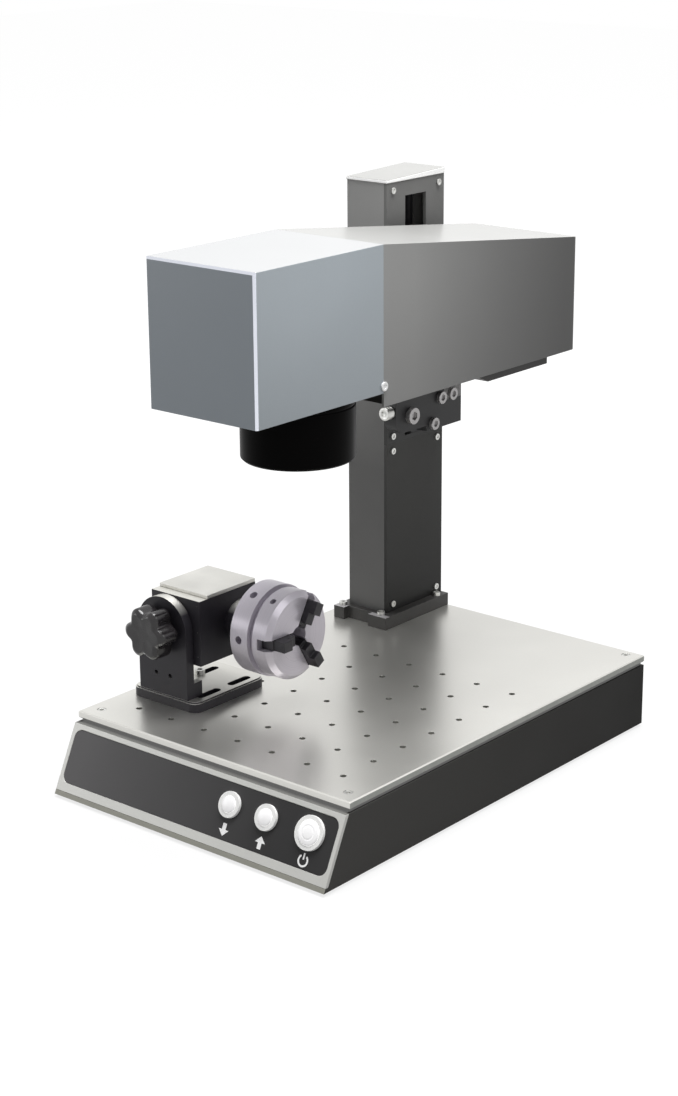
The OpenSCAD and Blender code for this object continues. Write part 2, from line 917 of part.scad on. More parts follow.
module column_foot() {
    color("#3C3B3A") difference() {
        block([foot_x0, foot_y0, base_h], [foot_x1, col_y1, col_base]);
        block([notch_x0, foot_y0 - cut, base_h - cut],
            [notch_x1, foot_y0 + foot_notch_d, col_base + cut]);
        for (p = foot_screws) translate([p.x, p.y, 0])
            rod_z(m4[0] + slip, base_h - cut, col_base + cut);
        translate([col_xc, cable_y, 0]) rod_z(cable_r, base_h - cut, col_base + cut);
    }
}

// Section of the column's channel, with the ribs that take the side screws
module channel_section() {
    x_lip = col_x1 - side_t;
    difference() {
        translate([col_x0, col_y0]) square([col_w - side_t, col_d]);
        translate([col_x0 + col_wall, col_y0 + col_wall])
            square([col_w, col_d - 2 * col_wall]);
    }
    for (y = [col_y0 + col_wall, col_y1 - col_wall - rib_w])
        translate([x_lip - rib_d, y]) square([rib_d, rib_w]);
}

module column_channel() {
    color("#4A4A49") difference() {
        prism_z(col_base, col_lid_z) channel_section();
        for (y = col_screw_ys, z = concat(cover_screw_zs, plate_screw_zs))
            translate([0, y, z])
                rod_x(m3[0] + slip, col_x1 - side_t - col_screw_len - cut, col_x1);
    }
}

// Flat side plate of the column between two heights
module side_plate(z0, z1, screw_zs) {
    difference() {
        block([col_x1 - side_t, col_y0, z0], [col_x1, col_y1, z1]);
        for (y = col_screw_ys, z = screw_zs) translate([0, y, z])
            rod_x(m3[0] + slip, col_x1 - side_t - cut, col_x1 + cut);
    }
}

module column_slot_plate() {
    color("#6A6A6A") difference() {
        side_plate(split_z, col_lid_z, plate_screw_zs);
        block([col_x1 - side_t - cut, col_yc - slot_w / 2, slot_z0],
            [col_x1 + cut, col_yc + slot_w / 2, slot_z1]);
    }
}

module column_cover() {
    color("#3F3F3F") side_plate(col_base, split_z, cover_screw_zs);
}

module column_cap() {
    color("#F0F0F0") prism_x(col_x0 - cap_over, col_x1 + cap_over) polygon([
        [col_y0 - cap_over, col_lid_z], [col_y1, col_lid_z],
        [col_y1, col_top], [col_y0 - cap_over, col_lid_z + cap_t_front]
    ]);
}

module lift_motor() {
    half = motor_s / 2;
    color("#2A2A2C") translate([col_xc - (side_t - col_wall) / 2, col_yc, 0]) difference() {
        prism_z(col_base, col_base + motor_h)
            bevel_rect([-half, -half], [half, half], motor_bevel);
        rod_z(shaft_r + run_gap, col_base + motor_h - shaft_in - cut,
            col_base + motor_h + cut);
    }
}

module lift_screw() {
    color("#C8C6C0") translate([col_xc, col_yc, 0]) {
        rod_z(shaft_r, col_base + motor_h - shaft_in, lift_z0 + coupling_h / 2);
        rod_z(coupling_r, lift_z0, lift_z0 + coupling_h);
        rod_z(screw_r, lift_z0 + coupling_h / 2, top_support_z + support_t);
    }
}

// Plate across the channel with a seat for a bearing and two rods
module support_plate(z0, rod_up) {
    difference() {
        prism_z(z0, z0 + support_t) difference() {
            translate([col_x0 + col_wall, col_y0 + col_wall])
                square([col_w - col_wall - side_t, col_d - 2 * col_wall]);
            for (y = [col_y0 + col_wall, col_y1 - col_wall - rib_w])
                translate([col_x1 - side_t - rib_d - fit_gap, y - fit_gap])
                    square([rib_d + cut, rib_w + 2 * fit_gap]);
        }
        translate([col_xc, col_yc, 0]) {
            rod_z(bearing_r + fit_gap, z0 + support_t - bearing_h, z0 + support_t + cut);
            rod_z(screw_r + slip, z0 - cut, z0 + support_t);
        }
        for (side = [-1, 1]) translate([col_xc, col_yc + side * rod_step, 0])
            rod_z(rod_r + fit_gap, rod_up ? z0 + support_t - rod_sink : z0 - cut,
                rod_up ? z0 + support_t + cut : z0 + rod_sink);
    }
    translate([col_xc, col_yc, 0]) difference() {
        rod_z(bearing_r, z0 + support_t - bearing_h, z0 + support_t);
        rod_z(screw_r + run_gap, z0, z0 + support_t + cut);
    }
}

module screw_supports() {
    color("#9A9A98") {
        support_plate(low_support_z, true);
        support_plate(top_support_z, false);
    }
}

module guide_rods() {
    color("#D8D8D6") for (side = [-1, 1])
        translate([col_xc, col_yc + side * rod_step, 0])
            rod_z(rod_r, low_support_z + support_t - rod_sink, top_support_z + rod_sink);
}

// Block inside the column with a neck through the slot, and the pad outside that the neck
// is screwed to
module carriage() {
    y_half = col_d / 2 - col_wall - rib_w - carriage_gap;
    neck = slot_w / 2 - neck_gap;
    inner_x1 = col_x1 - side_t - carriage_gap;
    color("#3A3A3C") {
        difference() {
            union() {
                block([col_x0 + col_wall + carriage_gap, col_yc - y_half, car_z0],
                    [inner_x1, col_yc + y_half, car_z1]);
                block([inner_x1 - cut, col_yc - neck, car_z0],
                    [pad_x0 - face_gap, col_yc + neck, car_z1]);
            }
            translate([col_xc, col_yc, 0]) {
                rod_z(nut_r + fit_gap, car_z0 - cut, car_z1 + cut);
                for (side = [-1, 1]) translate([0, side * rod_step, 0])
                    rod_z(bush_r + fit_gap, car_z0 - cut, car_z1 + cut);
            }
            for (z = neck_screw_zs) translate([0, col_yc, z])
                rod_x(m6[0] + slip, neck_screw_x - neck_screw_len - slip, pad_x0 + cut);
        }
        difference() {
            block([pad_x0, col_yc - skid_front, car_z0 - skid_drop],
                [arm_x0, col_yc + skid_back, car_z1]);
            for (p = arm_bolt_places) translate([0, col_yc + p.x, base_h + p.y])
                rod_x(m6[0] + slip, arm_x1 - arm_bolt_len - slip, arm_x0 + cut);
            for (z = neck_screw_zs) translate([0, col_yc, z]) {
                rod_x(m6[0] + slip, pad_x0 - cut, arm_x0 + cut);
                rod_x(m6[1] + slip, neck_screw_x, arm_x0 + cut);
            }
        }
    }
}

module carriage_bushes() {
    color("#B08D57") for (side = [-1, 0, 1]) {
        outer = side == 0 ? nut_r : bush_r;
        len = side == 0 ? carriage_h : bush_h;
        for (z = side == 0 ? [car_z0] : [car_z0, car_z1 - bush_h])
            translate([col_xc, col_yc + side * rod_step, z]) difference() {
                rod_z(outer, 0, len);
                rod_z(rod_r + run_gap, -cut, len + cut);
            }
    }
}

module arm_plate() {
    z0 = base_h + arm_z0;
    nose_z = base_h + nose_z0;
    color("#2C2C2D") difference() {
        union() {
            block([arm_x0, col_yc - arm_front, z0],
                [arm_x1, col_yc + arm_back, head_z + arm_top]);
            prism_x(arm_x0, arm_x1) round_rect(
                [nose_y0, nose_z], [col_yc - arm_front + nose_r, nose_z + nose_h], nose_r
            );
        }
        for (p = arm_bolt_places) translate([0, col_yc + p.x, base_h + p.y])
            rod_x(m6[0] + slip, arm_x0 - cut, arm_x1 + cut);
        translate([0, col_yc + nose_bolt_place.x, base_h + nose_bolt_place.y])
            rod_x(m8[0] + slip, arm_x1 - nose_bolt_len - slip, arm_x1 + cut);
        translate([thumb_x, 0, thumb_z])
            rod_y(m3[1] + run_gap, nose_y0 - cut, nose_y0 + thumb_shank + slip);
        for (y = chassis_bolt_places)
            translate([0, col_yc + y, head_z + chassis_t / 2]) {
                rod_x(m5[0] + slip, arm_x0 - cut, arm_x1 + cut);
                rod_x(m5[1] + slip, arm_x0 - cut, arm_x0 + m5[2] + slip);
            }
    }
}

module arm_bolts() {
    color("#8E8E8C") {
        for (p = arm_bolt_places) translate([arm_x1, col_yc + p.x, base_h + p.y])
            cap_screw_x(m6, arm_bolt_len);
        translate([arm_x1, col_yc + nose_bolt_place.x, base_h + nose_bolt_place.y])
            cap_screw_x(m8, nose_bolt_len);
        for (z = neck_screw_zs) translate([neck_screw_x, col_yc, z])
            cap_screw_x(m6, neck_screw_len);
        for (y = chassis_bolt_places)
            translate([arm_x0 + m5[2] + slip, col_yc + y, head_z + chassis_t / 2])
                rotate([0, -90, 0]) cap_screw(m5, chassis_bolt_len);
    }
}

// Knurled screw that points forwards out of the arm's nose
module thumb_screw() {
    color("#E2E2DE") translate([thumb_x, 0, thumb_z]) {
        difference() {
            rod_y(thumb_r, nose_y0 - face_gap - thumb_h, nose_y0 - face_gap);
            for (i = [1 : flute_count]) rotate([0, i * 360 / flute_count, 0])
                translate([thumb_r, 0, 0])
                    rod_y(flute_r, nose_y0 - thumb_h - cut, nose_y0 + cut);
        }
        rod_y(m3[1], nose_y0 - thumb_h / 2, nose_y0 + thumb_shank);
    }
}

module head_chassis() {
    color("#5E6062") difference() {
        block([-chassis_x, head_y0 + cover_t, head_z], [chassis_x, fan_y1, chassis_z1]);
        translate([0, lens_y, 0]) rod_z(neck_r + slip, head_z - cut, chassis_z1 + cut);
        for (y = chassis_bolt_places) translate([0, col_yc + y, head_z + chassis_t / 2])
            rod_x(m5[0] + slip, -chassis_x - cut, arm_x0 + m5[2] + chassis_bolt_len + cut);
        for (side = [0, 1]) mirror([side, 0, 0])
            translate([0, seam_y, head_z + seam_screw_up])
                rod_x(seam_screw[0] + slip, chassis_x - seam_screw_len, chassis_x + cut);
    }
}

// Holes through the covers for the seam screws
module seam_holes() {
    translate([0, seam_y, head_z + seam_screw_up])
        rod_x(seam_screw[0] + slip, -head_w, head_w);
}

module front_cover() {
    half = head_w / 2;
    color("#9BA3A4") difference() {
        block([-half, head_y0, head_z], [half, seam_y, head_top]);
        block([-chassis_x, head_y0 + cover_t, head_z - cut],
            [chassis_x, seam_y + cut, head_top - cover_t]);
        seam_holes();
    }
}

function roof_z(y) = head_top - roof_fall * (y - seam_y) / rear_len;

module rear_cover() {
    half = head_w / 2;
    color("#7C7C7A") difference() {
        intersection() {
            prism_x(-half, half) polygon([
                [seam_y, rear_z0], [head_y1, rear_z0],
                [head_y1, roof_z(head_y1)], [seam_y, head_top]
            ]);
            prism_z(rear_z0 - cut, head_top + cut) union() {
                round_rect([-half, seam_y], [half, head_y1], rear_r);
                translate([-half, seam_y]) square([head_w, rear_len / 2]);
            }
        }
        prism_x(-chassis_x, chassis_x) polygon([
            [seam_y - cut, rear_z0 - cut], [fan_y1, rear_z0 - cut],
            [fan_y1, roof_z(fan_y1) - cover_t], [seam_y - cut, head_top - cover_t]
        ]);
        prism_y(fan_y1 - cut, head_y1 + cut) translate([0, fan_zc]) intersection() {
            circle(r = grille_r);
            for (z = [-grille_r : grille_step : grille_r])
                translate([-grille_r, z]) square([2 * grille_r, grille_w]);
        }
        for (y = chassis_bolt_places) translate([0, col_yc + y, head_z + chassis_t / 2])
            rod_x(m5[0] + slip, -half - cut, -chassis_x + cut);
        seam_holes();
    }
}

// Shallow pan under the laser housing with a lower tray
module head_tray() {
    y0 = seam_y + tray_front;
    y_pan = lens_y + lens_r + face_gap;
    color("#3A3A3A") difference() {
        union() {
            block([-chassis_x, y_pan, rear_z0], [chassis_x, fan_y1, head_z]);
            prism_x(-tray_x, tray_x) polygon([
                [y0, rear_z0 + tray_t], [y0 + tray_nose, rear_z0 - tray_h],
                [y0 + tray_len, rear_z0 - tray_h], [y0 + tray_len, rear_z0 + tray_t]
            ]);
        }
        block([tray_t - chassis_x, y_pan + tray_t, rear_z0 + tray_t],
            [chassis_x - tray_t, fan_y1 - tray_t, head_z + cut]);
    }
}

module cover_screws() {
    color("#F2F3F3") for (side = [0, 1]) mirror([side, 0, 0])
        translate([head_w / 2, seam_y, head_z + seam_screw_up])
            cap_screw_x(seam_screw, seam_screw_len);
}

// Box that carries both scanner motors over the lens
module galvo_block() {
    color("#B9BBBC") translate([0, lens_y, 0]) difference() {
        block([-galvo_x, -galvo_y, chassis_z1], [galvo_x, galvo_y, galvo_z1]);
        block([galvo_wall - galvo_x, galvo_wall - galvo_y, chassis_z1 - cut],
            [galvo_x - galvo_wall, galvo_y - galvo_wall, galvo_z1 - galvo_wall]);
        translate([scan_side, 0, 0])
            rod_z(galvo_r + fit_gap, galvo_z1 - galvo_wall - cut, galvo_z1 + cut);
        translate([0, 0, beam_z])
            rod_y(galvo_r + fit_gap, -galvo_y - cut, galvo_wall - galvo_y + cut);
        translate([scan_side, 0, beam_z])
            rod_y(beam_r, galvo_y - galvo_wall - cut, galvo_y + cut);
    }
}

module galvo_motors() {
    z0 = galvo_z1 - galvo_wall - galvo_in;
    y1 = galvo_wall + galvo_in - galvo_y;
    color("#3A3A3C") translate([0, lens_y, 0]) {
        translate([scan_side, 0, 0]) difference() {
            rod_z(galvo_r, z0, z0 + galvo_len);
            rod_z(pivot_r + run_gap, z0 - cut, z0 + pivot_in);
        }
        translate([0, 0, beam_z]) difference() {
            rod_y(galvo_r, y1 - galvo_len, y1);
            rod_y(pivot_r + run_gap, y1 - pivot_in, y1 + cut);
        }
    }
}

// Mirror on a vertical pivot; turns the beam across the head
module scan_mirror_x() {
    color("#D8E4EC") translate([scan_side, lens_y, 0]) {
        rotate([0, 0, 45])
            block([-mirror_a.x / 2, -mirror_t / 2, beam_z - mirror_a.y / 2],
                [mirror_a.x / 2, mirror_t / 2, beam_z + mirror_a.y / 2]);
        rod_z(pivot_r, beam_z + mirror_a.y / 4,
            galvo_z1 - galvo_wall - galvo_in + pivot_in - slip);
    }
}

// Mirror on a fore-and-aft pivot; turns the beam down through the lens
module scan_mirror_y() {
    color("#D8E4EC") translate([0, lens_y, beam_z]) {
        rotate([0, -45, 0])
            block([-mirror_b.x / 2, -mirror_b.y / 2, -mirror_t / 2],
                [mirror_b.x / 2, mirror_b.y / 2, mirror_t / 2]);
        rod_y(pivot_r, galvo_wall + galvo_in - galvo_y - pivot_in + slip, -mirror_b.y / 4);
    }
}

module lens_barrel() {
    z0 = lens_z0;
    z_ledge = z0 + window_lip + window_t;
    color("#0A0A0A") translate([0, lens_y, 0]) rotate_extrude() polygon([
        [window_r, z0], [lens_r - barrel_bevel, z0], [lens_r, z0 + barrel_bevel],
        [lens_r, head_z], [neck_r, head_z], [neck_r, chassis_z1],
        [window_r, chassis_z1], [window_r, z_ledge + ledge_t],
        [ledge_r, z_ledge + ledge_t], [ledge_r, z_ledge], [window_r, z_ledge]
    ]);
}

// Window under the ledge and a thick element on it, its crown an arc in steps
module lens_glass() {
    z_ledge = lens_z0 + window_lip + window_t;
    z1 = z_ledge + ledge_t;
    r = window_r - fit_gap;
    crown_r = (r * r + element_bulge * element_bulge) / (2 * element_bulge);
    crown_a = asin(r / crown_r);
    color("#9FB6C8") translate([0, lens_y, 0]) {
        rod_z(r, z_ledge - window_t, z_ledge);
        rotate_extrude() polygon(concat(
            [[0, z1], [r, z1]],
            [for (i = [0 : crown_steps])
                let (a = crown_a * (1 - i / crown_steps))
                [crown_r * sin(a), z1 + element_edge + crown_r * (cos(a) - cos(crown_a))]]
        ));
    }
}

module laser_module() {
    color("#55585C") union() {
        block([-laser_x, laser_y0, chassis_z1], [laser_x, laser_y1, chassis_z1 + laser_h]);
        translate([scan_side, 0, beam_z]) rod_y(tube_r, lens_y + galvo_y, laser_y0 + cut);
        translate([scan_side - pointer_step, 0, beam_z])
            rod_y(pointer_r, laser_y0 - laser_gap / 2, laser_y0 + cut);
    }
}

module head_fan_frame() {
    half = fan_s / 2;
    color("#1E1E1E") translate([0, 0, fan_zc]) {
        difference() {
            block([-half, fan_y1 - fan_t, -half], [half, fan_y1, half]);
            rod_y(fan_bore_r, fan_y1 - fan_t - cut, fan_y1 + cut);
        }
        rod_y(fan_hub_r, fan_y1 - fan_disc_t, fan_y1);
        rod_y(fan_pin_r, fan_y1 - fan_t + fan_disc_t, fan_y1 - fan_disc_t / 2);
        for (a = [0, 120, 240]) rotate([0, a, 0])
            block([-fan_arm_w / 2, fan_y1 - fan_disc_t, fan_hub_r / 2],
                [fan_arm_w / 2, fan_y1, fan_bore_r + cut]);
    }
}

module head_fan_rotor() {
    y1 = fan_y1 - fan_disc_t - face_gap;
    y0 = fan_y1 - fan_t + face_gap;
    blade_len = fan_bore_r - blade_gap - fan_hub_r / 2;
    color("#2A2A2A") translate([0, 0, fan_zc]) difference() {
        union() {
            rod_y(fan_hub_r, y0, y1);
            for (i = [1 : blade_count]) rotate([0, i * 360 / blade_count, 0])
                translate([0, (y0 + y1) / 2, fan_hub_r / 2])
                rotate([0, 0, blade_pitch])
                translate([-blade_t / 2, -blade_chord / 2, 0])
                    cube([blade_t, blade_chord, blade_len]);
        }
        rod_y(fan_pin_r + run_gap, y0 + blade_t, y1 + cut);
    }
}

// Centres of the slots that meet the deck's holes
function rslot_at(i, j) =
    [grid_x0 + i * hole_pitch, grid_y0 + j * hole_pitch + rslot_shift];

module rotary_base() {
    slot_lo = rslot_at(rslot_cols[0], rslot_rows[0]);
    slot_hi = rslot_at(rslot_cols[1], rslot_rows[1]);
    side_web = rslot_w / 2 + rslot_web;
    end_web = rslot_len / 2 + rslot_web;
    lo = [min(pivot_x - rbase_left, slot_lo.x - side_web),
        min(rot_y - rbase_front, slot_lo.y - end_web)];
    hi = [max(pivot_x + rbase_right, slot_hi.x + side_web),
        max(rot_y + rbase_back, slot_hi.y + end_web)];
    rim = [rbase_bevel, rbase_bevel];
    run = rslot_len / 2 - rslot_w / 2;
    color("#26242A") difference() {
        union() {
            prism_z(base_h, rbase_z1 - rbase_bevel) round_rect(lo, hi, rbase_r);
            prism_z(base_h, rbase_z1) round_rect(lo + rim, hi - rim, rbase_r - rbase_bevel);
        }
        for (i = rslot_cols, j = rslot_rows) {
            p = rslot_at(i, j);
            block([p.x - rslot_w / 2, p.y - run, base_h - cut],
                [p.x + rslot_w / 2, p.y + run, rbase_z1 + cut]);
            for (end = [-run, run]) translate([p.x, p.y + end, 0])
                rod_z(rslot_w / 2, base_h - cut, rbase_z1 + cut);
        }
    }
}

// Arched plate that carries the tilt stud, with a lug behind each side of its foot
module rotary_upright() {
    color("#2A2830") difference() {
        union() {
            block([pivot_x - arch_r, up_y0, rbase_z1], [pivot_x + arch_r, up_y1, rot_z]);
            translate([pivot_x, 0, rot_z]) rod_y(arch_r, up_y0, up_y1);
            for (x = [pivot_x - arch_r, pivot_x + arch_r - lug_t])
                block([x, up_y1 - cut, rbase_z1], [x + lug_t, up_y1 + lug_d, rbase_z1 + lug_h]);
        }
        translate([pivot_x, 0, rot_z])
            rod_y(stud_r + run_gap, up_y0 - cut, up_y1 + cut);
        for (side = [-1, 1])
            translate([pivot_x + side * ear_hole_step / 2, 0, rot_z - ear_hole_drop])
                rod_y(ear_hole_r, up_y0 - cut, up_y1 + cut);
    }
}

module tilt_knob() {
    y1 = up_y0 - face_gap;
    color("#232227") translate([pivot_x, 0, rot_z]) difference() {
        union() {
            rod_y(knob_r, y1 - knob_len, y1 - knob_boss_h);
            rod_y(knob_boss_r, y1 - knob_len / 2, y1);
        }
        for (i = [1 : knob_lobes]) rotate([0, i * 360 / knob_lobes, 0])
            translate([knob_r + scallop_r * (1 - scallop_share), 0, 0])
                rod_y(scallop_r, y1 - knob_len - cut, y1 - knob_boss_h + cut);
        rod_y(stud_r + run_gap, up_y1 - stud_len - slip, y1 + cut);
    }
}

module rotary_housing() {
    color("#26242A") difference() {
        union() {
            block([hous_x0, hous_y0, hous_z0], [hous_x1, hous_y1, hous_z1]);
            on_chuck() rod_x(boss_r, hous_x1 - cut, hous_x1 + boss_len);
            translate([pivot_x, 0, rot_z]) rod_y(stud_r, up_y1 - stud_len, hous_y0 + cut);
            for (share = hous_screw_share)
                translate([hous_x1 - hous_screw_in, 0,
                    hous_z0 + share * (hous_z1 - hous_z0)])
                    rod_y(hous_screw_r, hous_y0 - face_gap / 2, hous_y0 + cut);
        }
        block([cavity_x0, hous_y0 + hous_front_wall, hous_z0 + hous_wall],
            [hous_x1 - hous_right_wall, hous_y1 - hous_wall, hous_z1 + cut]);
        on_chuck() {
            rod_x(left_bearing_r + fit_gap, hous_x0 - cut, cavity_x0 + cut);
            rod_x(bore_clear_r, cavity_x0, hous_x1 + boss_len + cut);
            rod_x(right_bearing_r + fit_gap,
                hous_x1 + boss_len - right_bearing_w - bearing_sink,
                hous_x1 + boss_len + cut);
        }
    }
}

module rotary_lid() {
    color("#C5C4BE") block(
        [hous_x0, hous_y0 + lid_setback, hous_z1], [hous_x1, hous_y1, hous_z1 + lid_t]
    );
}

module rotary_motor() {
    x0 = cavity_x0 + stepper_gap;
    half = stepper_s / 2;
    color("#1E1E20") translate([0, stepper_y, stepper_z]) difference() {
        block([x0, -half, -half], [x0 + stepper_len, half, half]);
        rod_x(stepper_shaft_r + run_gap, x0 - cut, x0 + stepper_shaft_in + slip);
    }
}

module motor_pulley() {
    color("#B8B8B4") translate([0, stepper_y, stepper_z]) {
        rod_x(small_pulley_r, pulley_x0, pulley_x0 + pulley_w);
        rod_x(stepper_shaft_r, pulley_x0 + pulley_w / 2,
            cavity_x0 + stepper_gap + stepper_shaft_in);
    }
}

// Outline of the belt's loop around both pulleys, grown by g
module belt_loop(g) {
    hull() {
        translate([rot_y, rot_z]) circle(r = big_pulley_r + g);
        translate([stepper_y, stepper_z]) circle(r = small_pulley_r + g);
    }
}

module rotary_belt() {
    x0 = pulley_x0 + (pulley_w - belt_w) / 2;
    color("#151515") prism_x(x0, x0 + belt_w) difference() {
        belt_loop(belt_gap + belt_t);
        belt_loop(belt_gap);
    }
}

module chuck_spindle() {
    color("#8F8A97") on_chuck() difference() {
        union() {
            rod_x(spindle_r, hous_x0 + spindle_end, flange_x1);
            rod_x(big_pulley_r, pulley_x0, pulley_x0 + pulley_w);
            rod_x(flange_r, flange_x0, flange_x1);
            rod_x(hub_r, flange_x0, neck_x0);
        }
        rod_x(spindle_bore_r, hous_x0, neck_x0 + cut);
    }
}

module spindle_bearings() {
    x1 = hous_x1 + boss_len - bearing_sink;
    color("#C8C8C4") on_chuck() {
        difference() {
            rod_x(left_bearing_r, hous_x0, cavity_x0);
            rod_x(spindle_r + run_gap, hous_x0 - cut, cavity_x0 + cut);
        }
        difference() {
            rod_x(right_bearing_r, x1 - right_bearing_w, x1);
            rod_x(spindle_r + run_gap, x1 - right_bearing_w - cut, x1 + cut);
        }
    }
}

module scroll_ring() {
    mid = (ring_x0 + ring_x1) / 2;
    color("#B9B4BE") on_chuck() difference() {
        rod_x(ring_r, ring_x0, ring_x1);
        rod_x(hub_r + run_gap, ring_x0 - cut, ring_x1 + cut);
        for (i = [1 : tommy_count]) rotate([i * 360 / tommy_count, 0, 0])
            translate([mid, 0, 0]) rod_y(tommy_r, ring_r - tommy_deep, ring_r + cut);
    }
}

module chuck_body() {
    slot = jaw_w / 2 + face_gap;
    neck_r = chuck_r * neck_r_share;
    face_r = chuck_r * face_r_share;
    color("#A7A2AC") on_chuck() difference() {
        rotate([0, 90, 0]) rotate_extrude() polygon([
            [body_bore_r, neck_x0], [neck_r, neck_x0], [neck_r, body_x0],
            [chuck_r, body_x0], [chuck_r, chuck_x1 - body_bevel],
            [face_r, chuck_x1], [body_bore_r, chuck_x1]
        ]);
        for (a = jaw_angles) rotate([a, 0, 0])
            block([chuck_x1 - jaw_sink, 0, -slot], [chuck_x1 + cut, chuck_r + cut, slot]);
        for (a = jaw_angles) rotate([a + 60, 0, 0])
            translate([chuck_x1 - body_len / 2 - body_bevel / 2, 0, 0])
                rod_y(body_tommy_r, chuck_r - tommy_deep, chuck_r + cut);
    }
}

// One stepped jaw, its length along the chuck's radius
module jaw(turn) {
    half = jaw_w / 2;
    x0 = chuck_x1 - jaw_sink + face_gap;
    color("#1C1B1E") on_chuck(turn) union() {
        block([x0, jaw_in, -half], [chuck_x1, jaw_out, half]);
        block([x0, jaw_step_in, -half], [chuck_x1 + jaw_step_h, jaw_step_out, half]);
        block([x0, jaw_top_in, -half], [chuck_x1 + jaw_top_h, jaw_step_out, half]);
    }
}

module chuck_jaw_1() {
    jaw(jaw_angles[0]);
}

module chuck_jaw_2() {
    jaw(jaw_angles[1]);
}

module chuck_jaw_3() {
    jaw(jaw_angles[2]);
}

feet();
base_floor();
side_panels();
rear_panel();
front_frame();
front_inlay();
corner_posts();
deck_plate();
frame_screws();
button_switches();
button_down();
button_up();
button_power();
power_supply();
control_board();
rear_sockets();
mains_switch();
column_foot();
column_channel();
column_slot_plate();
column_cover();
column_cap();
lift_motor();
lift_screw();
screw_supports();
guide_rods();
carriage();
carriage_bushes();
arm_plate();
arm_bolts();
thumb_screw();
head_chassis();
front_cover();
rear_cover();
head_tray();
cover_screws();
galvo_block();
galvo_motors();
scan_mirror_x();
scan_mirror_y();
lens_barrel();
lens_glass();
laser_module();
head_fan_frame();
head_fan_rotor();
rotary_base();
rotary_upright();
tilt_knob();
rotary_housing();
rotary_lid();
rotary_motor();
motor_pulley();
rotary_belt();
chuck_spindle();
spindle_bearings();
scroll_ring();
chuck_body();
chuck_jaw_1();
chuck_jaw_2();
chuck_jaw_3();
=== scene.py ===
import json
import math

import bmesh
import bpy
import numpy as np
from mathutils import Matrix, Vector


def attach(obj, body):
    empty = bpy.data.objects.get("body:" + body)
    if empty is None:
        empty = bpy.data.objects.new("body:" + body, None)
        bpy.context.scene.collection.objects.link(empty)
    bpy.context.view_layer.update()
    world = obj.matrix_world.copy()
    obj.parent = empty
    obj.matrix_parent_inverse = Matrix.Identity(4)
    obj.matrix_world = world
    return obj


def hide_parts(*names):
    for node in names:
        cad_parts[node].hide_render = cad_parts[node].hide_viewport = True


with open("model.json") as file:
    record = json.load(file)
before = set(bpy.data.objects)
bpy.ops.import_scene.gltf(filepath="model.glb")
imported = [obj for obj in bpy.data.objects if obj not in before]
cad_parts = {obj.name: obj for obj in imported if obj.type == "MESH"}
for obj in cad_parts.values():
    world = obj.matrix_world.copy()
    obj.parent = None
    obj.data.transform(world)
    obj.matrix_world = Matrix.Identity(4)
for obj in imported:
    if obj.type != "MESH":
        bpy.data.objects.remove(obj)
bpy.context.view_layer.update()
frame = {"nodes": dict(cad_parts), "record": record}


SLOT = {part["node"]: part["material_slot"] for part in frame["record"]["subparts"]}
BODIES = frame["record"]["behaviour"]["bodies"]
BODY = {node: body for body, nodes in BODIES.items() for node in nodes}

MM = 0.001
X, Y, Z = range(3)

# Places of the machine, in metres, as in the CAD
LENS_Y = -69.9 * MM  # the lens's axis, over the chuck's
HEAD_Z = 318.7 * MM  # the head's underside
HEAD_FRONT = -173.6 * MM
HEAD_TOP = 431.1 * MM
HEAD_HALF = 52.85 * MM  # half the width of the scanner's cover
DECK_Z = 61 * MM
DECK_THICK = 6 * MM
FRONT_Y = -207 * MM  # the lower edge of the front, which leans back by FRONT_TILT
FRONT_TILT = math.atan(29.5 / 61)
BUTTON_V = 37.917 * MM  # the buttons' axes, up the slope of the front
SIGN_V = 19 * MM
TILT_X = -97 * MM  # the rotary's tilt axis
KNOB_Y = -124.6 * MM  # the rear of the tilt knob's boss
CHUCK_Z = 124.4 * MM
THUMB_AT = (-58.85 * MM, 113.9 * MM, 257 * MM)
FLOOR_Z = -2.5 * MM  # the feet's underside

# Each button: its cap, the x of its axis, the cap's radius in mm and the radius of its ring's lip
BUTTONS = (
    ("button_down", 34.7 * MM, 6.35, 11 * MM),
    ("button_up", 70.7 * MM, 6.35, 11 * MM),
    ("button_power", 112.7 * MM, 9.35, 14 * MM),
)
DOWN_X, UP_X, POWER_X = (x for _, x, _, _ in BUTTONS)


# ---- Nodes of materials

WHITE = (1, 1, 1, 1)
GRAIN_SHARE = 0.35  # how much of the grain is added to the drift for the tone
TONE_RANGE = (0.45, 0.9)  # what that sum covers
NOISE_RANGE = (0.3, 0.7)  # what one noise covers


def linear(code):
    """An sRGB hex colour as linear RGBA."""
    value = np.array([int(code[i:i + 2], 16) for i in (0, 2, 4)]) / 255
    curve = np.where(value <= 0.04045, value / 12.92, ((value + 0.055) / 1.055) ** 2.4)
    return (*curve.tolist(), 1.0)


def blank(name):
    """A material with an empty node tree."""
    material = bpy.data.materials.new(name)
    material.use_nodes = True
    material.node_tree.nodes.clear()
    return material


def add(material, kind, settings=(), links=()):
    """Adds a node. settings are its own values or its sockets' values, and links the outputs that
    it reads."""
    node = material.node_tree.nodes.new("ShaderNode" + kind)
    for key, value in dict(settings).items():
        if isinstance(key, str) and hasattr(node, key):
            setattr(node, key, value)
        else:
            node.inputs[key].default_value = value
    for key, output in dict(links).items():
        material.node_tree.links.new(output, node.inputs[key])
    return node


def noise(material, place, size, detail):
    """A noise of 0 to 1 whose features are size mm wide."""
    return add(material, "TexNoise", {"Scale": 1 / (size * MM), "Detail": detail},
               {"Vector": place}).outputs["Fac"]


def ranged(material, value, low, high, to=(0, 1)):
    """A value carried from low..high to the two values of to, and held between them."""
    ends = {"From Min": low, "From Max": high, "To Min": to[0], "To Max": to[1]}
    return add(material, "MapRange", ends, {"Value": value}).outputs[0]


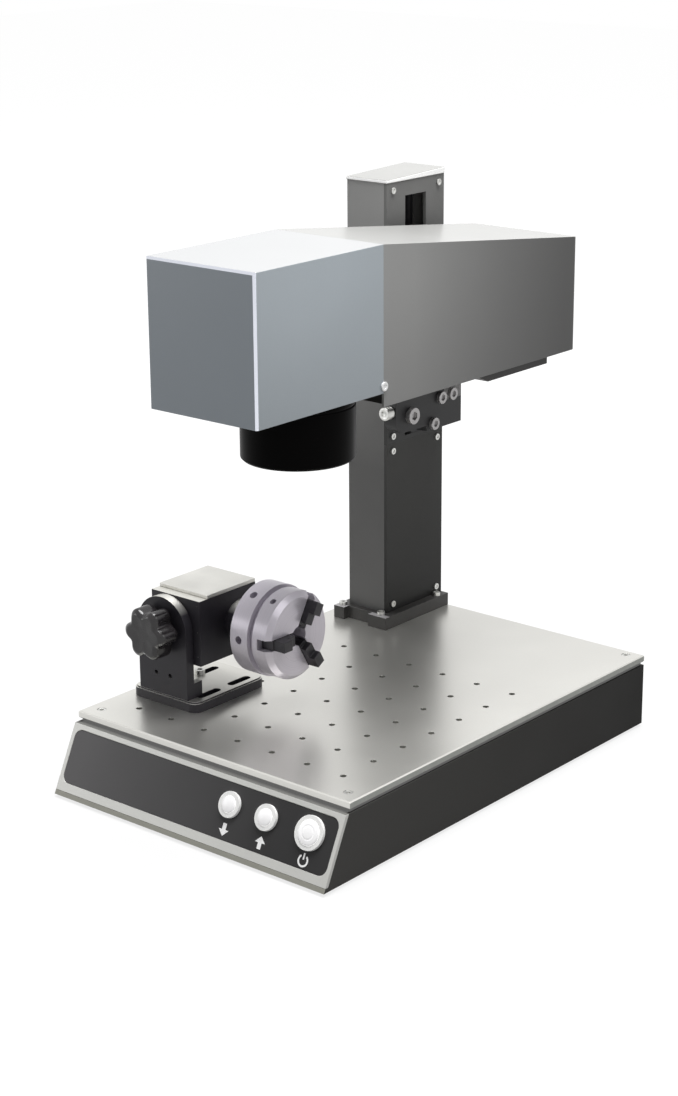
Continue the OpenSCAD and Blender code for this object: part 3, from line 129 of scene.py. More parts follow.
def mixed(material, share, first, second):
    """Two colours mixed, each a hex code or an output; share is the second's."""
    settings, links = {"data_type": "RGBA"}, {0: share}
    for socket, colour in ((6, first), (7, second)):
        if isinstance(colour, str):
            settings[socket] = linear(colour)
        else:
            links[socket] = colour
    return add(material, "Mix", settings, links).outputs[2]


def bumped(material, height, strength, depth):
    """The normal over bumps depth mm high."""
    return add(material, "Bump", {"Strength": strength, "Distance": depth * MM},
               {"Height": height}).outputs[0]


def shaded(material, surface, links):
    """Ends a material in a Principled shader. surface holds its sockets' values, with underscores
    for the spaces in their names."""
    named = {key.replace("_", " "): value for key, value in surface.items()}
    shader = add(material, "BsdfPrincipled", named, links)
    add(material, "OutputMaterial", (), {"Surface": shader.outputs[0]})
    return material


# ---- Kinds of finish

def grained(name, light, dark, rough, cloud=40, grain=0.8, depth=0.01, fade=(), patch=None,
            **surface):
    """An even finish: two close tones drift over cloud mm, a grain of that many mm and depth mm
    lies on top, and the roughness wanders between the two values of rough. Where fade lists an
    axis, two places in mm and a level, the tone falls to that level from one place to the other,
    as painted light and shade. patch is a colour and a list of axes, each with the places in mm
    where it starts and where it is full."""
    m = blank(name)
    place = add(m, "TexCoord").outputs["Object"]
    drift = noise(m, place, cloud, 3)
    fine = noise(m, place, grain, 2)
    both = add(m, "Math", {"operation": "MULTIPLY_ADD", 1: GRAIN_SHARE}, {0: fine, 2: drift})
    colour = mixed(m, ranged(m, both.outputs[0], *TONE_RANGE), dark, light)
    along = add(m, "SeparateXYZ", (), {0: place}).outputs
    for axis, start, end, level in fade:
        fall = ranged(m, along[axis], start * MM, end * MM, (1, level))
        colour = add(m, "VectorMath", {"operation": "SCALE"}, {0: colour, 3: fall}).outputs[0]
    if patch:
        tint, edges = patch
        share, *others = [ranged(m, along[axis], start * MM, full * MM)
                          for axis, start, full in edges]
        for other in others:
            share = add(m, "Math", {"operation": "MULTIPLY"}, {0: share, 1: other}).outputs[0]
        colour = mixed(m, share, colour, tint)
    return shaded(m, surface, {"Base Color": colour,
                               "Roughness": ranged(m, drift, *NOISE_RANGE, rough),
                               "Normal": bumped(m, fine, 0.6, depth)})


def faced(name, light, dark, top, rough, cloud=25, grain=0.8, **surface):
    """Dark anodised metal with its upward faces light and metallic: the object's own normal picks
    them."""
    m = blank(name)
    place = add(m, "TexCoord").outputs
    drift = noise(m, place["Object"], cloud, 3)
    fine = noise(m, place["Object"], grain, 2)
    rise = add(m, "SeparateXYZ", (), {0: place["Normal"]}).outputs[Z]
    upward = ranged(m, rise, 0.55, 0.95)
    return shaded(m, surface, {"Base Color": mixed(m, upward, mixed(m, drift, dark, light), top),
                               "Roughness": ranged(m, drift, 0, 1, rough),
                               "Metallic": upward, "Normal": bumped(m, fine, 0.5, 0.01)})


def turned(name, light, dark, rough, centre, axis, pitch=0.9, depth=0.006, **surface):
    """Metal from the lathe: fine rings about the axis through centre, pitch mm apart on flat faces
    and along the length."""
    m = blank(name)
    place = add(m, "TexCoord").outputs["Object"]
    origin = {"vector_type": "POINT", "Location": tuple(-c for c in centre)}
    from_centre = add(m, "Mapping", origin, {"Vector": place}).outputs[0]
    spread = tuple(0.0 if i == axis else 1.0 for i in range(3))
    flat = add(m, "VectorMath", {"operation": "MULTIPLY", 1: spread}, {0: from_centre})
    radius = add(m, "VectorMath", {"operation": "LENGTH"}, {0: flat.outputs[0]})
    along = add(m, "SeparateXYZ", (), {0: from_centre}).outputs
    path = add(m, "Math", {"operation": "ADD"}, {0: radius.outputs["Value"], 1: along[axis]})
    rings = add(m, "TexNoise", {"noise_dimensions": "1D", "Scale": 1 / (pitch * MM), "Detail": 2},
                {"W": path.outputs[0]}).outputs["Fac"]
    return shaded(m, surface, {"Base Color": mixed(m, ranged(m, rings, *NOISE_RANGE), dark, light),
                               "Roughness": ranged(m, rings, 0, 1, rough),
                               "Normal": bumped(m, rings, 0.5, depth)})


def coated_glass(name, tint, bloom, **surface):
    """Optical glass with its anti-reflection coat: clear, with a faint violet bloom."""
    m = blank(name)
    drift = noise(m, add(m, "TexCoord").outputs["Object"], 30, 1)
    return shaded(m, surface, {"Base Color": mixed(m, drift, tint, bloom)})


def circuit_board(name, mask, copper):
    """Solder mask over copper tracks: gloss green with slightly lighter lines, 2.5 mm apart one
    way and 5 mm the other."""
    m = blank(name)
    place = add(m, "TexCoord").outputs["Object"]
    tracks = add(m, "TexBrick", {"Color1": linear(mask), "Color2": linear(mask),
                                 "Mortar": linear(copper), "Scale": 1 / (10 * MM),
                                 "Mortar Size": 0.03}, {"Vector": place})
    return shaded(m, {"Roughness": 0.3}, {"Base Color": tracks.outputs["Color"]})


# ---- Finishes: name, light tone, dark tone, range of roughness, then cloud, grain and depth in mm
# and the fades, which are painted light and shade. The grain of blasting, paint and moulding is
# 0.1 to 0.3 mm on the real machine; it is drawn at 0.6 to 1.2 mm, or it would be too fine to show.

CHUCK_AT = (0.0, LENS_Y, CHUCK_Z)
LENS_AT = (0.0, LENS_Y, 0.0)

FINISH = {
    # Bead-blasted, clear anodised plate: pale satin that mirrors dark shapes softly
    # Painted shade darkens it slightly to the rear
    "deck_alloy": grained("blasted_clear_aluminium_painted_shade", "DEDDD8", "D5D4CF", (0.27, 0.32), 120, 1.2,
                          0.0002, [(Y, 20, 200, 0.94)], Metallic=0.84),
    # The sawn edge of that plate, duller than its face
    "plate_edge": grained("sawn_plate_edge", "A2A49F", "92948F", (0.45, 0.55), 12, 1.0, 0.01,
                          Metallic=0.5),
    # Painted shade for the shadow gap below it, with a faint painted glow so it is never quite
    # black
    "gap_shade": grained("shaded_gap", "5E5E5A", "565652", (0.8, 0.9), 10, 1.2, 0.05,
                         Specular_IOR_Level=0.1, Emission_Strength=0.1),
    # Silver sheet of the front, more matt than the deck, and its folded lower lip in painted shade
    "frame_silver": grained("blasted_silver_aluminium", "D0D0CC", "C6C6C2", (0.4, 0.46), 60, 0.9,
                            0.002, Metallic=0.3),
    "lip_silver_painted_shade": grained("folded_lip_aluminium_painted_shade", "A6A59B", "9A998F", (0.45, 0.55), 30, 0.9, 0.01),
    # Milled alloy: plain and a little dull
    "post_alloy": grained("milled_aluminium", "A6A6A4", "8E8E8C", (0.35, 0.5), 12, 1.0, 0.01,
                          Metallic=1.0),
    "support_alloy": grained("milled_alloy_plate", "B4B4B2", "9C9C9A", (0.35, 0.5), 14, 1.0, 0.01,
                             Metallic=1.0),
    # Silver lacquer on folded steel: soft sheen, with painted shade towards the bottom
    "cover_silver": grained("silver_lacquer", "A0A8AE", "99A1A7", (0.34, 0.4), 120, 0.7, 0.004,
                            [(Z, 415, 320, 0.86)], Coat_Weight=0.3, Coat_Roughness=0.25),
    # Its top, painted paler and less blue for the light that falls on it
    "cover_top_painted_light": grained("silver_lacquer_top_painted_light", "A3A4A5", "9FA0A1", (0.34, 0.4), 120, 0.7, 0.004,
                         Coat_Weight=0.3, Coat_Roughness=0.25),
    # Its front, painted a little paler than the sides for the light on it
    "cover_face_painted_light": grained("silver_lacquer_front_painted_light", "A7B1BA", "A1ABB4", (0.34, 0.4), 120, 0.7, 0.004,
                          Coat_Weight=0.3, Coat_Roughness=0.25),
    # Its cut edge, polished bare
    "cover_edge": grained("polished_edge", "DCDFE8", "D6D9E2", (0.15, 0.2), 20, 0.8, 0.001,
                          Metallic=1.0),
    # Grey lacquer of the rear cover, with less sheen on the sides and painted shade that darkens
    # them to the rear and towards the bottom
    "cover_grey": grained("grey_lacquer", "999997", "939391", (0.34, 0.4), 110, 0.7, 0.004,
                          Coat_Weight=0.4, Coat_Roughness=0.25),
    "cover_grey_side_painted_shade": grained("grey_lacquer_side_painted_shade", "979796", "919190", (0.4, 0.46), 110, 0.7,
                               0.004, [(Y, 5, 205, 0.4), (Z, 400, 310, 0.84)],
                               Specular_IOR_Level=0.3),
    # Fine-textured powder coat: dark, with a low soft sheen
    "shell_paint": grained("fine_powder_coat", "3A3937", "302F2D", (0.5, 0.6), 70, 1.1, 0.03,
                           Specular_IOR_Level=0.3),
    # Its sides: the same coat painted lighter for the light on them, with painted shade to the
    # rear
    "shell_side_painted_shade": grained("fine_powder_coat_side_painted_shade", "555452", "4E4D4B", (0.5, 0.6), 70, 1.1, 0.03,
                          [(Y, -200, 200, 0.25)], Specular_IOR_Level=0.1),
    "tray_dark": grained("satin_powder_coat", "403F3E", "353433", (0.45, 0.55), 60, 1.1, 0.02,
                         Specular_IOR_Level=0.3),
    # Satin paint of the column, with painted shade darkening it towards the bottom
    "column_grey": grained("satin_grey_paint", "ACACAB", "A2A2A1", (0.38, 0.46), 80, 0.9, 0.012,
                           [(Z, 340, 200, 0.39)], Specular_IOR_Level=0.25),
    "column_dark": grained("satin_dark_paint", "585857", "50504F", (0.4, 0.48), 80, 0.9, 0.012,
                           [(Z, 220, 90, 0.4)], Specular_IOR_Level=0.12),
    # The same on the slotted plate, painted nearly black below, for the head's shade
    "slot_plate_painted_shade": grained("satin_slot_plate_paint", "7E7E7D", "747473", (0.38, 0.46), 80, 0.9,
                               0.012, [(Z, 300, 260, 0.22)], Specular_IOR_Level=0.25),
    # The column's cap, and its edges, painted pale and given a painted glow for the room's light
    "cap_white": grained("satin_white_paint", "999997", "949492", (0.35, 0.42), 50, 0.9, 0.008),
    "cap_side_painted_light": grained("satin_white_paint_side_painted_light", "F0F0EF", "ECECEB", (0.35, 0.42), 50, 0.9, 0.008,
                        Emission_Strength=0.27),
    # The column's foot, and its upper side, pale along the front
    "foot_dark": grained("black_anodised_foot", "3E3D3C", "333231", (0.42, 0.5), 30, 0.8, 0.01,
                         Specular_IOR_Level=0.35),
    "foot_top": grained("black_anodised_foot_top", "3E3D3C", "333231", (0.42, 0.5), 30, 0.8, 0.01,
                        patch=("A8A6A8", [(Y, 124, 123.5)]), Specular_IOR_Level=0.35),
    # Semi-gloss acrylic panel with a painted reflection: grey at the left, near black to the right
    "inlay_black": grained("acrylic_panel_painted_reflection", "686768", "616061", (0.32, 0.36), 120, 0.6, 0.001,
                           [(X, -120, 80, 0.32)], Specular_IOR_Level=0.12),
    # White ink of the signs on the panel, with a faint painted glow
    "sign_ink": grained("white_screen_ink", "F6F6F6", "ECECEC", (0.5, 0.6), 6, 0.6, 0.002,
                        Emission_Strength=0.25),
    # Glossy white ABS caps and rings, with a faint painted glow
    "button_white": grained("white_abs", "FAF9FA", "F2F1F2", (0.22, 0.28), 15, 0.6, 0.002,
                            Emission_Strength=0.3),
    "button_ring": grained("white_abs_ring", "F6F6F4", "EEEEEC", (0.25, 0.3), 15, 0.6, 0.002,
                           Emission_Strength=0.16),
    "contact_black": grained("black_nylon", "2C2C2C", "222222", (0.5, 0.6), 10, 0.8, 0.01,
                             Specular_IOR_Level=0.3),
    # Black anodised carriage and arm, the arm rubbed to grey at its upper rear corner
    "arm_black": grained("black_anodised_arm", "323233", "262627", (0.42, 0.5), 30, 0.8, 0.01,
                         Specular_IOR_Level=0.3),
    "arm_plate_black": grained("black_anodised_plate", "323233", "262627", (0.42, 0.5), 30, 0.8,
                               0.01, patch=("B4B3B3", [(Z, 255, 256), (Y, 179.5, 180.5)]),
                               Specular_IOR_Level=0.3),
    # Inside the head, the base and the column
    "chassis_grey": grained("anodised_chassis", "66686A", "58595B", (0.4, 0.48), 30, 0.8, 0.01,
                            Metallic=0.8),
    "laser_grey": grained("anodised_laser_case", "5E6165", "505357", (0.4, 0.48), 30, 0.8, 0.01,
                          Metallic=0.7),
    "mirror_coat": grained("silvered_mirror", "F0F4F8", "E6ECF2", (0.03, 0.05), 10, 0.8, 0.0005,
                           Metallic=1.0),
    "supply_case": grained("zinc_plated_case", "B4B4B0", "9A9A96", (0.3, 0.45), 8, 1.2, 0.01,
                           Metallic=1.0),
    "board_green": circuit_board("green_solder_mask", "2F6B3A", "4A8A50"),
    "motor_black": grained("matt_black_motor", "303032", "262628", (0.5, 0.6), 20, 0.8, 0.01,
                           Specular_IOR_Level=0.3),
    "bush_bronze": grained("sintered_bronze", "BC9A62", "A07E4A", (0.4, 0.5), 5, 0.7, 0.02,
                           Metallic=1.0),
    # Steel inside the column, painted dark for the shade it stands in
    "steel_painted_shade": grained("steel_painted_shade", "2E2D2F", "242325", (0.4, 0.5), 6, 0.8, 0.004,
                           Specular_IOR_Level=0.1),
    # Bright zinc-plated steel screws, duller bolts and white painted screws
    "screw_steel": grained("zinc_plated_steel", "D6D6D3", "BEBEBB", (0.3, 0.4), 4, 0.8, 0.004,
                           Metallic=1.0),
    "bolt_grey": grained("phosphated_steel", "B4B2B2", "A4A2A2", (0.3, 0.36), 4, 0.8, 0.004,
                         Metallic=0.6),
    "screw_white": grained("white_painted_steel", "F8F8F8", "EEEEEE", (0.3, 0.4), 4, 0.8, 0.004),
    # Rotary: turned and ground steel with rings about the chuck's axis, and blackened jaws
    "shaft_steel": turned("ground_shaft_steel", "D0CED2", "B2AFB6", (0.2, 0.34), CHUCK_AT, X,
                          Metallic=1.0),
    "chuck_steel": turned("turned_chuck_steel", "CDC8D1", "C4BFC9", (0.26, 0.32), CHUCK_AT, X,
                          0.7, 0.0004, Metallic=0.3, Specular_IOR_Level=0.45),
    "jaw_steel": grained("blackened_steel", "38363A", "28272A", (0.35, 0.45), 8, 0.8, 0.006,
                         Metallic=0.6),
    # Black anodised aluminium, its upward faces light and metallic
    "rotary_black": faced("black_anodised_rotary", "2C2A30", "222026", "CBCAC5", (0.4, 0.48),
                          Specular_IOR_Level=0.3),
    "lid_alloy": grained("satin_lid_aluminium", "D2D1CC", "C4C3BE", (0.32, 0.4), 30, 0.9, 0.006,
                         Metallic=0.8),
    "knob_black": grained("moulded_knob_nylon", "2A2729", "201E20", (0.15, 0.2), 20, 0.7, 0.004,
                          Specular_IOR_Level=0.5),
    "pulley_alloy": grained("turned_alloy_pulley", "C0C0BC", "A8A8A4", (0.3, 0.4), 4, 0.8, 0.01,
                            Metallic=1.0),
    "belt_rubber": grained("neoprene_belt", "1C1C1C", "141414", (0.7, 0.8), 4, 0.8, 0.02),
    # Lens: black anodised barrel, coated glass
    "lens_black": turned("black_anodised_lens", "0B0A0A", "080808", (0.3, 0.36), LENS_AT, Z,
                         Specular_IOR_Level=0.02),
    "lens_glass": coated_glass("coated_lens_glass", "F4F8FF", "E6E2FF", Roughness=0.02,
                               Transmission_Weight=1.0, IOR=1.52),
    # Moulded plastic and rubber
    "socket_black": grained("moulded_socket_nylon", "242424", "1A1A1A", (0.4, 0.5), 8, 0.8, 0.01,
                            Specular_IOR_Level=0.4),
    "rocker_red": grained("red_rocker_nylon", "6A1818", "561212", (0.25, 0.35), 8, 0.7, 0.004),
    "fan_black": grained("moulded_fan_plastic", "242424", "1B1B1B", (0.4, 0.5), 12, 0.8, 0.01,
                         Specular_IOR_Level=0.4),
    "foot_rubber": grained("moulded_rubber", "242424", "1C1C1C", (0.7, 0.8), 10, 0.8, 0.02),
}


# ---- Shapes

EDGE_ANGLE = math.radians(32)  # edges that turn more than this are rounded


def new_object(name, data):
    """An object in the scene."""
    obj = bpy.data.objects.new(name, data)
    bpy.context.scene.collection.objects.link(obj)
    return obj


def show(name, mesh, node, finishes=()):
    """Puts a mesh in the scene, shaded smooth, as a piece that rides on its CAD node's body. It
    takes the finishes named, or else the node's own."""
    obj = new_object(name, mesh)
    for finish in finishes or [SLOT[node]]:
        mesh.materials.append(FINISH[finish])
    mesh.shade_smooth()
    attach(obj, BODY[node])
    return obj


def stand_in(name, mesh, node, finishes=()):
    """Shows a mesh in place of its CAD node."""
    obj = show(name, mesh, node, finishes)
    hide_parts(node)
    return obj


def eased(node, width, paint=(), finish=None, steps=2, cut=None):
    """A CAD node with its edges rounded by width mm. The copy is merged and its flat facets are
    joined. paint lists other finishes, each with a test of a face's middle and normal, or None.
    cut is a test of an edge's middle and a width in mm: the edges that it picks are first cut
    flat that wide, and the flats take the first of paint."""
    source = frame["nodes"][node].data
    points = np.empty(len(source.vertices) * 3, np.float32)
    source.vertices.foreach_get("co", points)
    corners = [tuple(p.vertices) for p in source.polygons]
    mesh = bpy.data.meshes.new(node + "_eased")
    mesh.from_pydata(points.reshape(-1, 3).tolist(), [], corners)
    build = bmesh.new()
    build.from_mesh(mesh)
    bmesh.ops.remove_doubles(build, verts=build.verts, dist=0.002 * MM)
    bmesh.ops.dissolve_limit(build, angle_limit=math.radians(0.3), verts=build.verts,
                             edges=build.edges)
    if cut:
        picks, flat = cut
        chosen = [e for e in build.edges if len(e.link_faces) == 2
                  and e.calc_face_angle(0) > EDGE_ANGLE
                  and picks((e.verts[0].co + e.verts[1].co) / 2)]
        bmesh.ops.bevel(build, geom=chosen, offset=flat * MM, offset_type="OFFSET", segments=1,
                        profile=0.5, affect="EDGES", clamp_overlap=True, material=1)
    build.normal_update()
    for index, (_, picks) in enumerate(paint, 1):
        for face in build.faces:
            if picks and picks(face.calc_center_median(), face.normal):
                face.material_index = index
    build.to_mesh(mesh)
    build.free()
    obj = stand_in(node + "_eased", mesh, node,
                   [finish or SLOT[node], *(painted for painted, _ in paint)])
    ease = obj.modifiers.new("ease", "BEVEL")
    ease.width = width * MM
    ease.segments = steps
    ease.limit_method = "ANGLE"
    ease.angle_limit = EDGE_ANGLE
    ease.use_clamp_overlap = True
    ease.face_strength_mode = "FSTR_AFFECTED"
    even = obj.modifiers.new("even", "WEIGHTED_NORMAL")
    even.keep_sharp = False
    even.use_face_influence = True


def filleted(corners, radius, steps=4):
    """A polyline with each inner corner replaced by a curve: the quadratic between two points
    radius mm from it, or 0.45 of a shorter side, with the corner as its handle."""
    corners = np.asarray(corners, float)
    t = np.linspace(0, 1, steps + 1)[:, None]
    out = [corners[:1]]
    for before, at, after in zip(corners[:-2], corners[1:-1], corners[2:]):
        back, on = before - at, after - at
        a = at + back * min(radius / np.linalg.norm(back), 0.45)
        b = at + on * min(radius / np.linalg.norm(on), 0.45)
        out.append((1 - t) ** 2 * a + 2 * t * (1 - t) * at + t ** 2 * b)
    return np.vstack(out + [corners[-1:]])


def carried(points, place):
    """Points in mm in a local frame as metres in the machine's."""
    turn = np.array(place)
    return points * MM @ turn[:3, :3].T + turn[:3, 3]


def lathe(name, profile, place, columns=96, radial=None):
    """A solid of revolution: (radius, height) pairs in mm carried round the z axis of the local
    frame place, the radius scaled by radial(angle, height) where it is given. The points on the
    axis are merged, and the faces turned outwards."""
    profile = np.asarray(profile, float)
    angle = np.arange(columns) * 2 * math.pi / columns
    radius = profile[:, :1] * np.ones(columns)
    height = profile[:, 1:] * np.ones(columns)
    if radial is not None:
        radius = radius * radial(angle[None, :], height)
    points = np.stack([radius * np.cos(angle), radius * np.sin(angle), height], -1)
    index = np.arange(len(profile) * columns).reshape(-1, columns)
    index = np.hstack([index, index[:, :1]])
    quads = np.stack([index[:-1, :-1], index[:-1, 1:], index[1:, 1:], index[1:, :-1]], -1)
    mesh = bpy.data.meshes.new(name)
    mesh.from_pydata(carried(points, place).reshape(-1, 3).tolist(), [],
                     quads.reshape(-1, 4).tolist())
    build = bmesh.new()
    build.from_mesh(mesh)
    bmesh.ops.remove_doubles(build, verts=build.verts, dist=0.001 * MM)
    bmesh.ops.recalc_face_normals(build, faces=build.faces)
    build.to_mesh(mesh)
    build.free()
    return mesh


def plate(outline, low, high, place):
    """A flat shape: a closed outline in mm between two heights, two caps and a strip of sides."""
    outline = np.asarray(outline, float)
    count = len(outline)
    points = np.vstack([np.column_stack([outline, np.full(count, h)]) for h in (low, high)])
    ring = np.arange(count)
    caps = [ring[::-1].tolist(), (ring + count).tolist()]
    sides = np.stack([ring, np.roll(ring, -1), np.roll(ring, -1) + count, ring + count], -1)
    mesh = bpy.data.meshes.new("plate")
    mesh.from_pydata(carried(points, place).tolist(), [], caps + sides.tolist())
    return mesh


def join_meshes(name, meshes):
    """Several meshes as one."""
    build = bmesh.new()
    for mesh in meshes:
        build.from_mesh(mesh)
    whole = bpy.data.meshes.new(name)
    bmesh.ops.recalc_face_normals(build, faces=build.faces)
    build.to_mesh(whole)
    build.free()
    return whole


# ---- Local frames

ON_FRONT = (Matrix.Translation((0, FRONT_Y, 0))
            @ Matrix.Rotation(math.pi / 2 - FRONT_TILT, 4, "X"))
TO_FRONT = ON_FRONT.inverted()
ON_LENS = Matrix.Translation((0, LENS_Y, HEAD_Z))


def on_front(x, v):
    """The frame at x and v up the slope of the front, with z out of it."""
    return ON_FRONT @ Matrix.Translation((x, v, 0))


def towards_front(place):
    """The frame at a place with z towards the front."""
    return Matrix.Translation(place) @ Matrix.Rotation(math.pi / 2, 4, "X")


# ---- Covers, base and column: the CAD shapes with their edges eased

def cover_front_edge(middle):
    """Upright front edges and the top front edge of the scanner's cover."""
    at_front = middle.y < HEAD_FRONT + 1 * MM
    upright = abs(abs(middle.x) - HEAD_HALF) < 1 * MM
    return at_front and (upright or middle.z > HEAD_TOP - 1 * MM)


def is_top(middle, normal):
    return normal.z > 0.9


def is_side(middle, normal):
    return abs(normal.x) > 0.9


def is_deck_edge(middle, normal):
    return is_side(middle, normal) and middle.z > DECK_Z - DECK_THICK


def is_gap(middle, normal):
    """The steps below the deck's plate, and all that faces down: they take the gap's painted
    shade.
    """
    return middle.z < DECK_Z - DECK_THICK - 0.02 * MM or normal.z < -0.3


eased("front_cover", 0.3, cut=(cover_front_edge, 1.8), paint=[
    ("cover_edge", None), ("cover_top_painted_light", is_top),
    ("cover_face_painted_light", lambda middle, normal: normal.y < -0.9)])
eased("rear_cover", 0.7, [("cover_grey_side_painted_shade", is_side)])
eased("deck_plate", 0.25, [("plate_edge", is_deck_edge), ("gap_shade", is_gap)])
# The frame's upward faces in the gap take the same painted shade
eased("front_frame", 0.4, [("gap_shade", lambda middle, normal: normal.z > 0.95)])
eased("base_floor", 0.3, [("lip_silver_painted_shade", lambda middle, normal: normal.y < -0.7)])
eased("column_slot_plate", 0.5, finish="slot_plate_painted_shade")
eased("side_panels", 0.3, finish="shell_side_painted_shade")
eased("cover_screws", 0.4, finish="screw_white", steps=3)
eased("arm_bolts", 1.3, finish="bolt_grey", steps=4)
eased("column_cap", 0.9, [("cap_side_painted_light", lambda middle, normal: abs(normal.z) < 0.5)], steps=3)
eased("column_foot", 0.6, [("foot_top", is_top)])
eased("arm_plate", 0.8, finish="arm_plate_black")
for node, width in {
    "rotary_base": 0.6, "front_inlay": 0.2, "rear_panel": 0.3, "column_channel": 0.8,
    "column_cover": 0.5, "carriage": 0.8, "head_chassis": 0.3, "head_tray": 0.6,
    "rotary_upright": 0.8, "rotary_housing": 0.8, "rotary_lid": 0.5, "scroll_ring": 0.6,
    "chuck_body": 0.6, "chuck_jaw_1": 0.4, "chuck_jaw_2": 0.4, "chuck_jaw_3": 0.4,
    "chuck_spindle": 0.3, "frame_screws": 0.3, "rear_sockets": 0.3, "mains_switch": 0.5,
    "galvo_block": 0.4, "laser_module": 0.6, "head_fan_frame": 0.3, "feet": 0.6,
}.items():
    eased(node, width)


# ---- Button rings: white lips outside, black contact blocks and steel nuts behind the panel

CONTACT_HIGH = -15.01 * MM
NUT_LOW, NUT_HIGH = -6 * MM, -2.6 * MM
NUT_IN = 2.4 * MM  # how far a nut reaches in from its ring's lip


def off_axis(point):
    """Height over the panel, distance from the nearest button's axis and that button's lip."""
    spot = TO_FRONT @ point
    _, x, _, lip = min(BUTTONS, key=lambda button: abs(button[1] - spot.x))
    return spot.z, math.hypot(spot.x - x, spot.y - BUTTON_V), lip


def is_contact(middle, normal):
    return off_axis(middle)[0] < CONTACT_HIGH


def is_nut(middle, normal):
    height, radius, lip = off_axis(middle)
    return NUT_LOW < height < NUT_HIGH and radius > lip - NUT_IN


eased("button_switches", 0.5, [("contact_black", is_contact), ("screw_steel", is_nut)])


# ---- Button caps: a shallow dome with a soft rim, and a faint ring pressed into the power cap

CAP_FOOT, CAP_RIM, CAP_HIGH = -3.2, 2.55, 3.8
RIM_WIDE, CROWN = 0.5, 0.9
RING_DEEP, RING_WIDE = 0.25, 0.45
RING_AT = 0.55  # of the cap's radius


def cap_profile(radius, ring):
    """Half section of a cap: flat underside, straight wall, soft rim and a crown, which falls by
    CROWN mm as the square of the distance from the middle."""
    r = np.linspace(radius - RIM_WIDE, 0, 24)
    crown = CAP_HIGH - CROWN * (r / radius) ** 2
    if ring:
        crown -= RING_DEEP * np.exp(-((r - RING_AT * radius) / RING_WIDE) ** 2)
    wall = filleted([(0, CAP_FOOT), (radius, CAP_FOOT), (radius, CAP_RIM),
                     (radius - RIM_WIDE, crown[0])], 0.6)
    return np.vstack([wall, np.column_stack([r, crown])[1:]])


for node, x, radius, _ in BUTTONS:
    section = cap_profile(radius, node == "button_power")
    stand_in(node + "_cap", lathe(node + "_cap", section, on_front(x, BUTTON_V)), node)


# ---- Signs on the panel: down, up and the power sign

INK = (-0.3, -0.18)  # from the inlay's face to 0.12 mm over it
POWER_SIGN_V = SIGN_V - 1.5 * MM
ARROW_HALF, ARROW_STEM = 9.6 / 2, 9.6 / 5.5  # half widths of the head and the stem


def arrow(way):
    """A solid arrow, as high as wide, pointing up where way is 1 and down where it is -1."""
    half, stem = ARROW_HALF, ARROW_STEM
    points = np.array([[0, half], [half, 0], [stem, 0], [stem, -half],
                       [-stem, -half], [-stem, 0], [-half, 0]])
    return points * [1, way]


def open_ring(inner, outer, gap, steps=40):
    """A ring open at the top by gap degrees either side: an outer arc and the inner arc back."""
    a = np.radians(np.linspace(90 + gap, 450 - gap, steps))
    arc = np.column_stack([np.cos(a), np.sin(a)])
    return np.vstack([outer * arc, inner * arc[::-1]])


stroke = [(-0.7, 0.8), (0.7, 0.8), (0.7, 5.6), (-0.7, 5.6)]
signs = [plate(outline, *INK, on_front(x, v)) for outline, x, v in (
    (arrow(-1), DOWN_X, SIGN_V), (arrow(1), UP_X, SIGN_V),
    (open_ring(3.4, 4.8, 36), POWER_X, POWER_SIGN_V), (stroke, POWER_X, POWER_SIGN_V))]
printed = show("panel_signs", join_meshes("panel_signs", signs), "front_inlay", ["sign_ink"])
printed.data.shade_flat()


# ---- Tilt knob: six rounded lobes, domed front, boss behind, blind bore for the stud

LOBES = 6
SCALLOP = 0.22  # depth of a scallop, of the radius
BOSS_HIGH = 2.9


def lobes(angle, height):
    """1 at a lobe and 0.78 in a scallop; the boss, below the lobes, stays round."""
    wave = 0.5 - 0.5 * np.cos(LOBES * angle)
    return 1 - SCALLOP * wave ** 1.3 * (height > BOSS_HIGH)


knob_section = filleted([
    (0, 12.9), (5.3, 12.9), (5.3, 0.0), (12, 0.0), (12, 3.0), (20.5, 3.0), (21.5, 4.5),
    (21.5, 18.6), (17.5, 21.7), (7, 20.9), (0, 20.9)], 1.8, 5)
knob_at = towards_front((TILT_X, KNOB_Y, CHUCK_Z))
stand_in("tilt_knob_moulded", lathe("tilt_knob_moulded", knob_section, knob_at, 144, lobes),
         "tilt_knob")


# ---- Scan lens: barrel with a groove under the flange and a bevelled nose, element, window

GLASS_R = 35.9
ELEMENT_LOW, ELEMENT_EDGE, ELEMENT_CROWN = -35.8, 5, 4
WINDOW_LOW, WINDOW_HIGH = -46.8, -43.8

barrel_section = filleted([
    (36, -49.8), (42.2, -49.8), (44, -48), (44, -8), (43.2, -7.2), (44, -6.4), (44, 0), (40, 0),
    (40, 8), (36, 8), (36, -35.8), (31, -35.8), (31, -43.8), (36, -43.8), (36, -49.8)], 0.5, 3)
stand_in("lens_barrel_turned", lathe("lens_barrel_turned", barrel_section, ON_LENS, 160),
         "lens_barrel")

r = np.linspace(GLASS_R, 0, 28)
crown = np.column_stack([r, ELEMENT_LOW + ELEMENT_EDGE + ELEMENT_CROWN * (1 - (r / GLASS_R) ** 2)])
element_section = np.vstack([[(0, ELEMENT_LOW), (GLASS_R, ELEMENT_LOW)], crown])
window_section = filleted([(0, WINDOW_LOW), (GLASS_R, WINDOW_LOW), (GLASS_R, WINDOW_HIGH),
                           (0, WINDOW_HIGH)], 0.2, 2)
glasses = [lathe("glass", section, ON_LENS, 128) for section in (element_section, window_section)]
stand_in("lens_glass_polished", join_meshes("lens_glass_polished", glasses), "lens_glass")


# ---- Thumb screw: diamond knurl on the head, plain shank into the arm

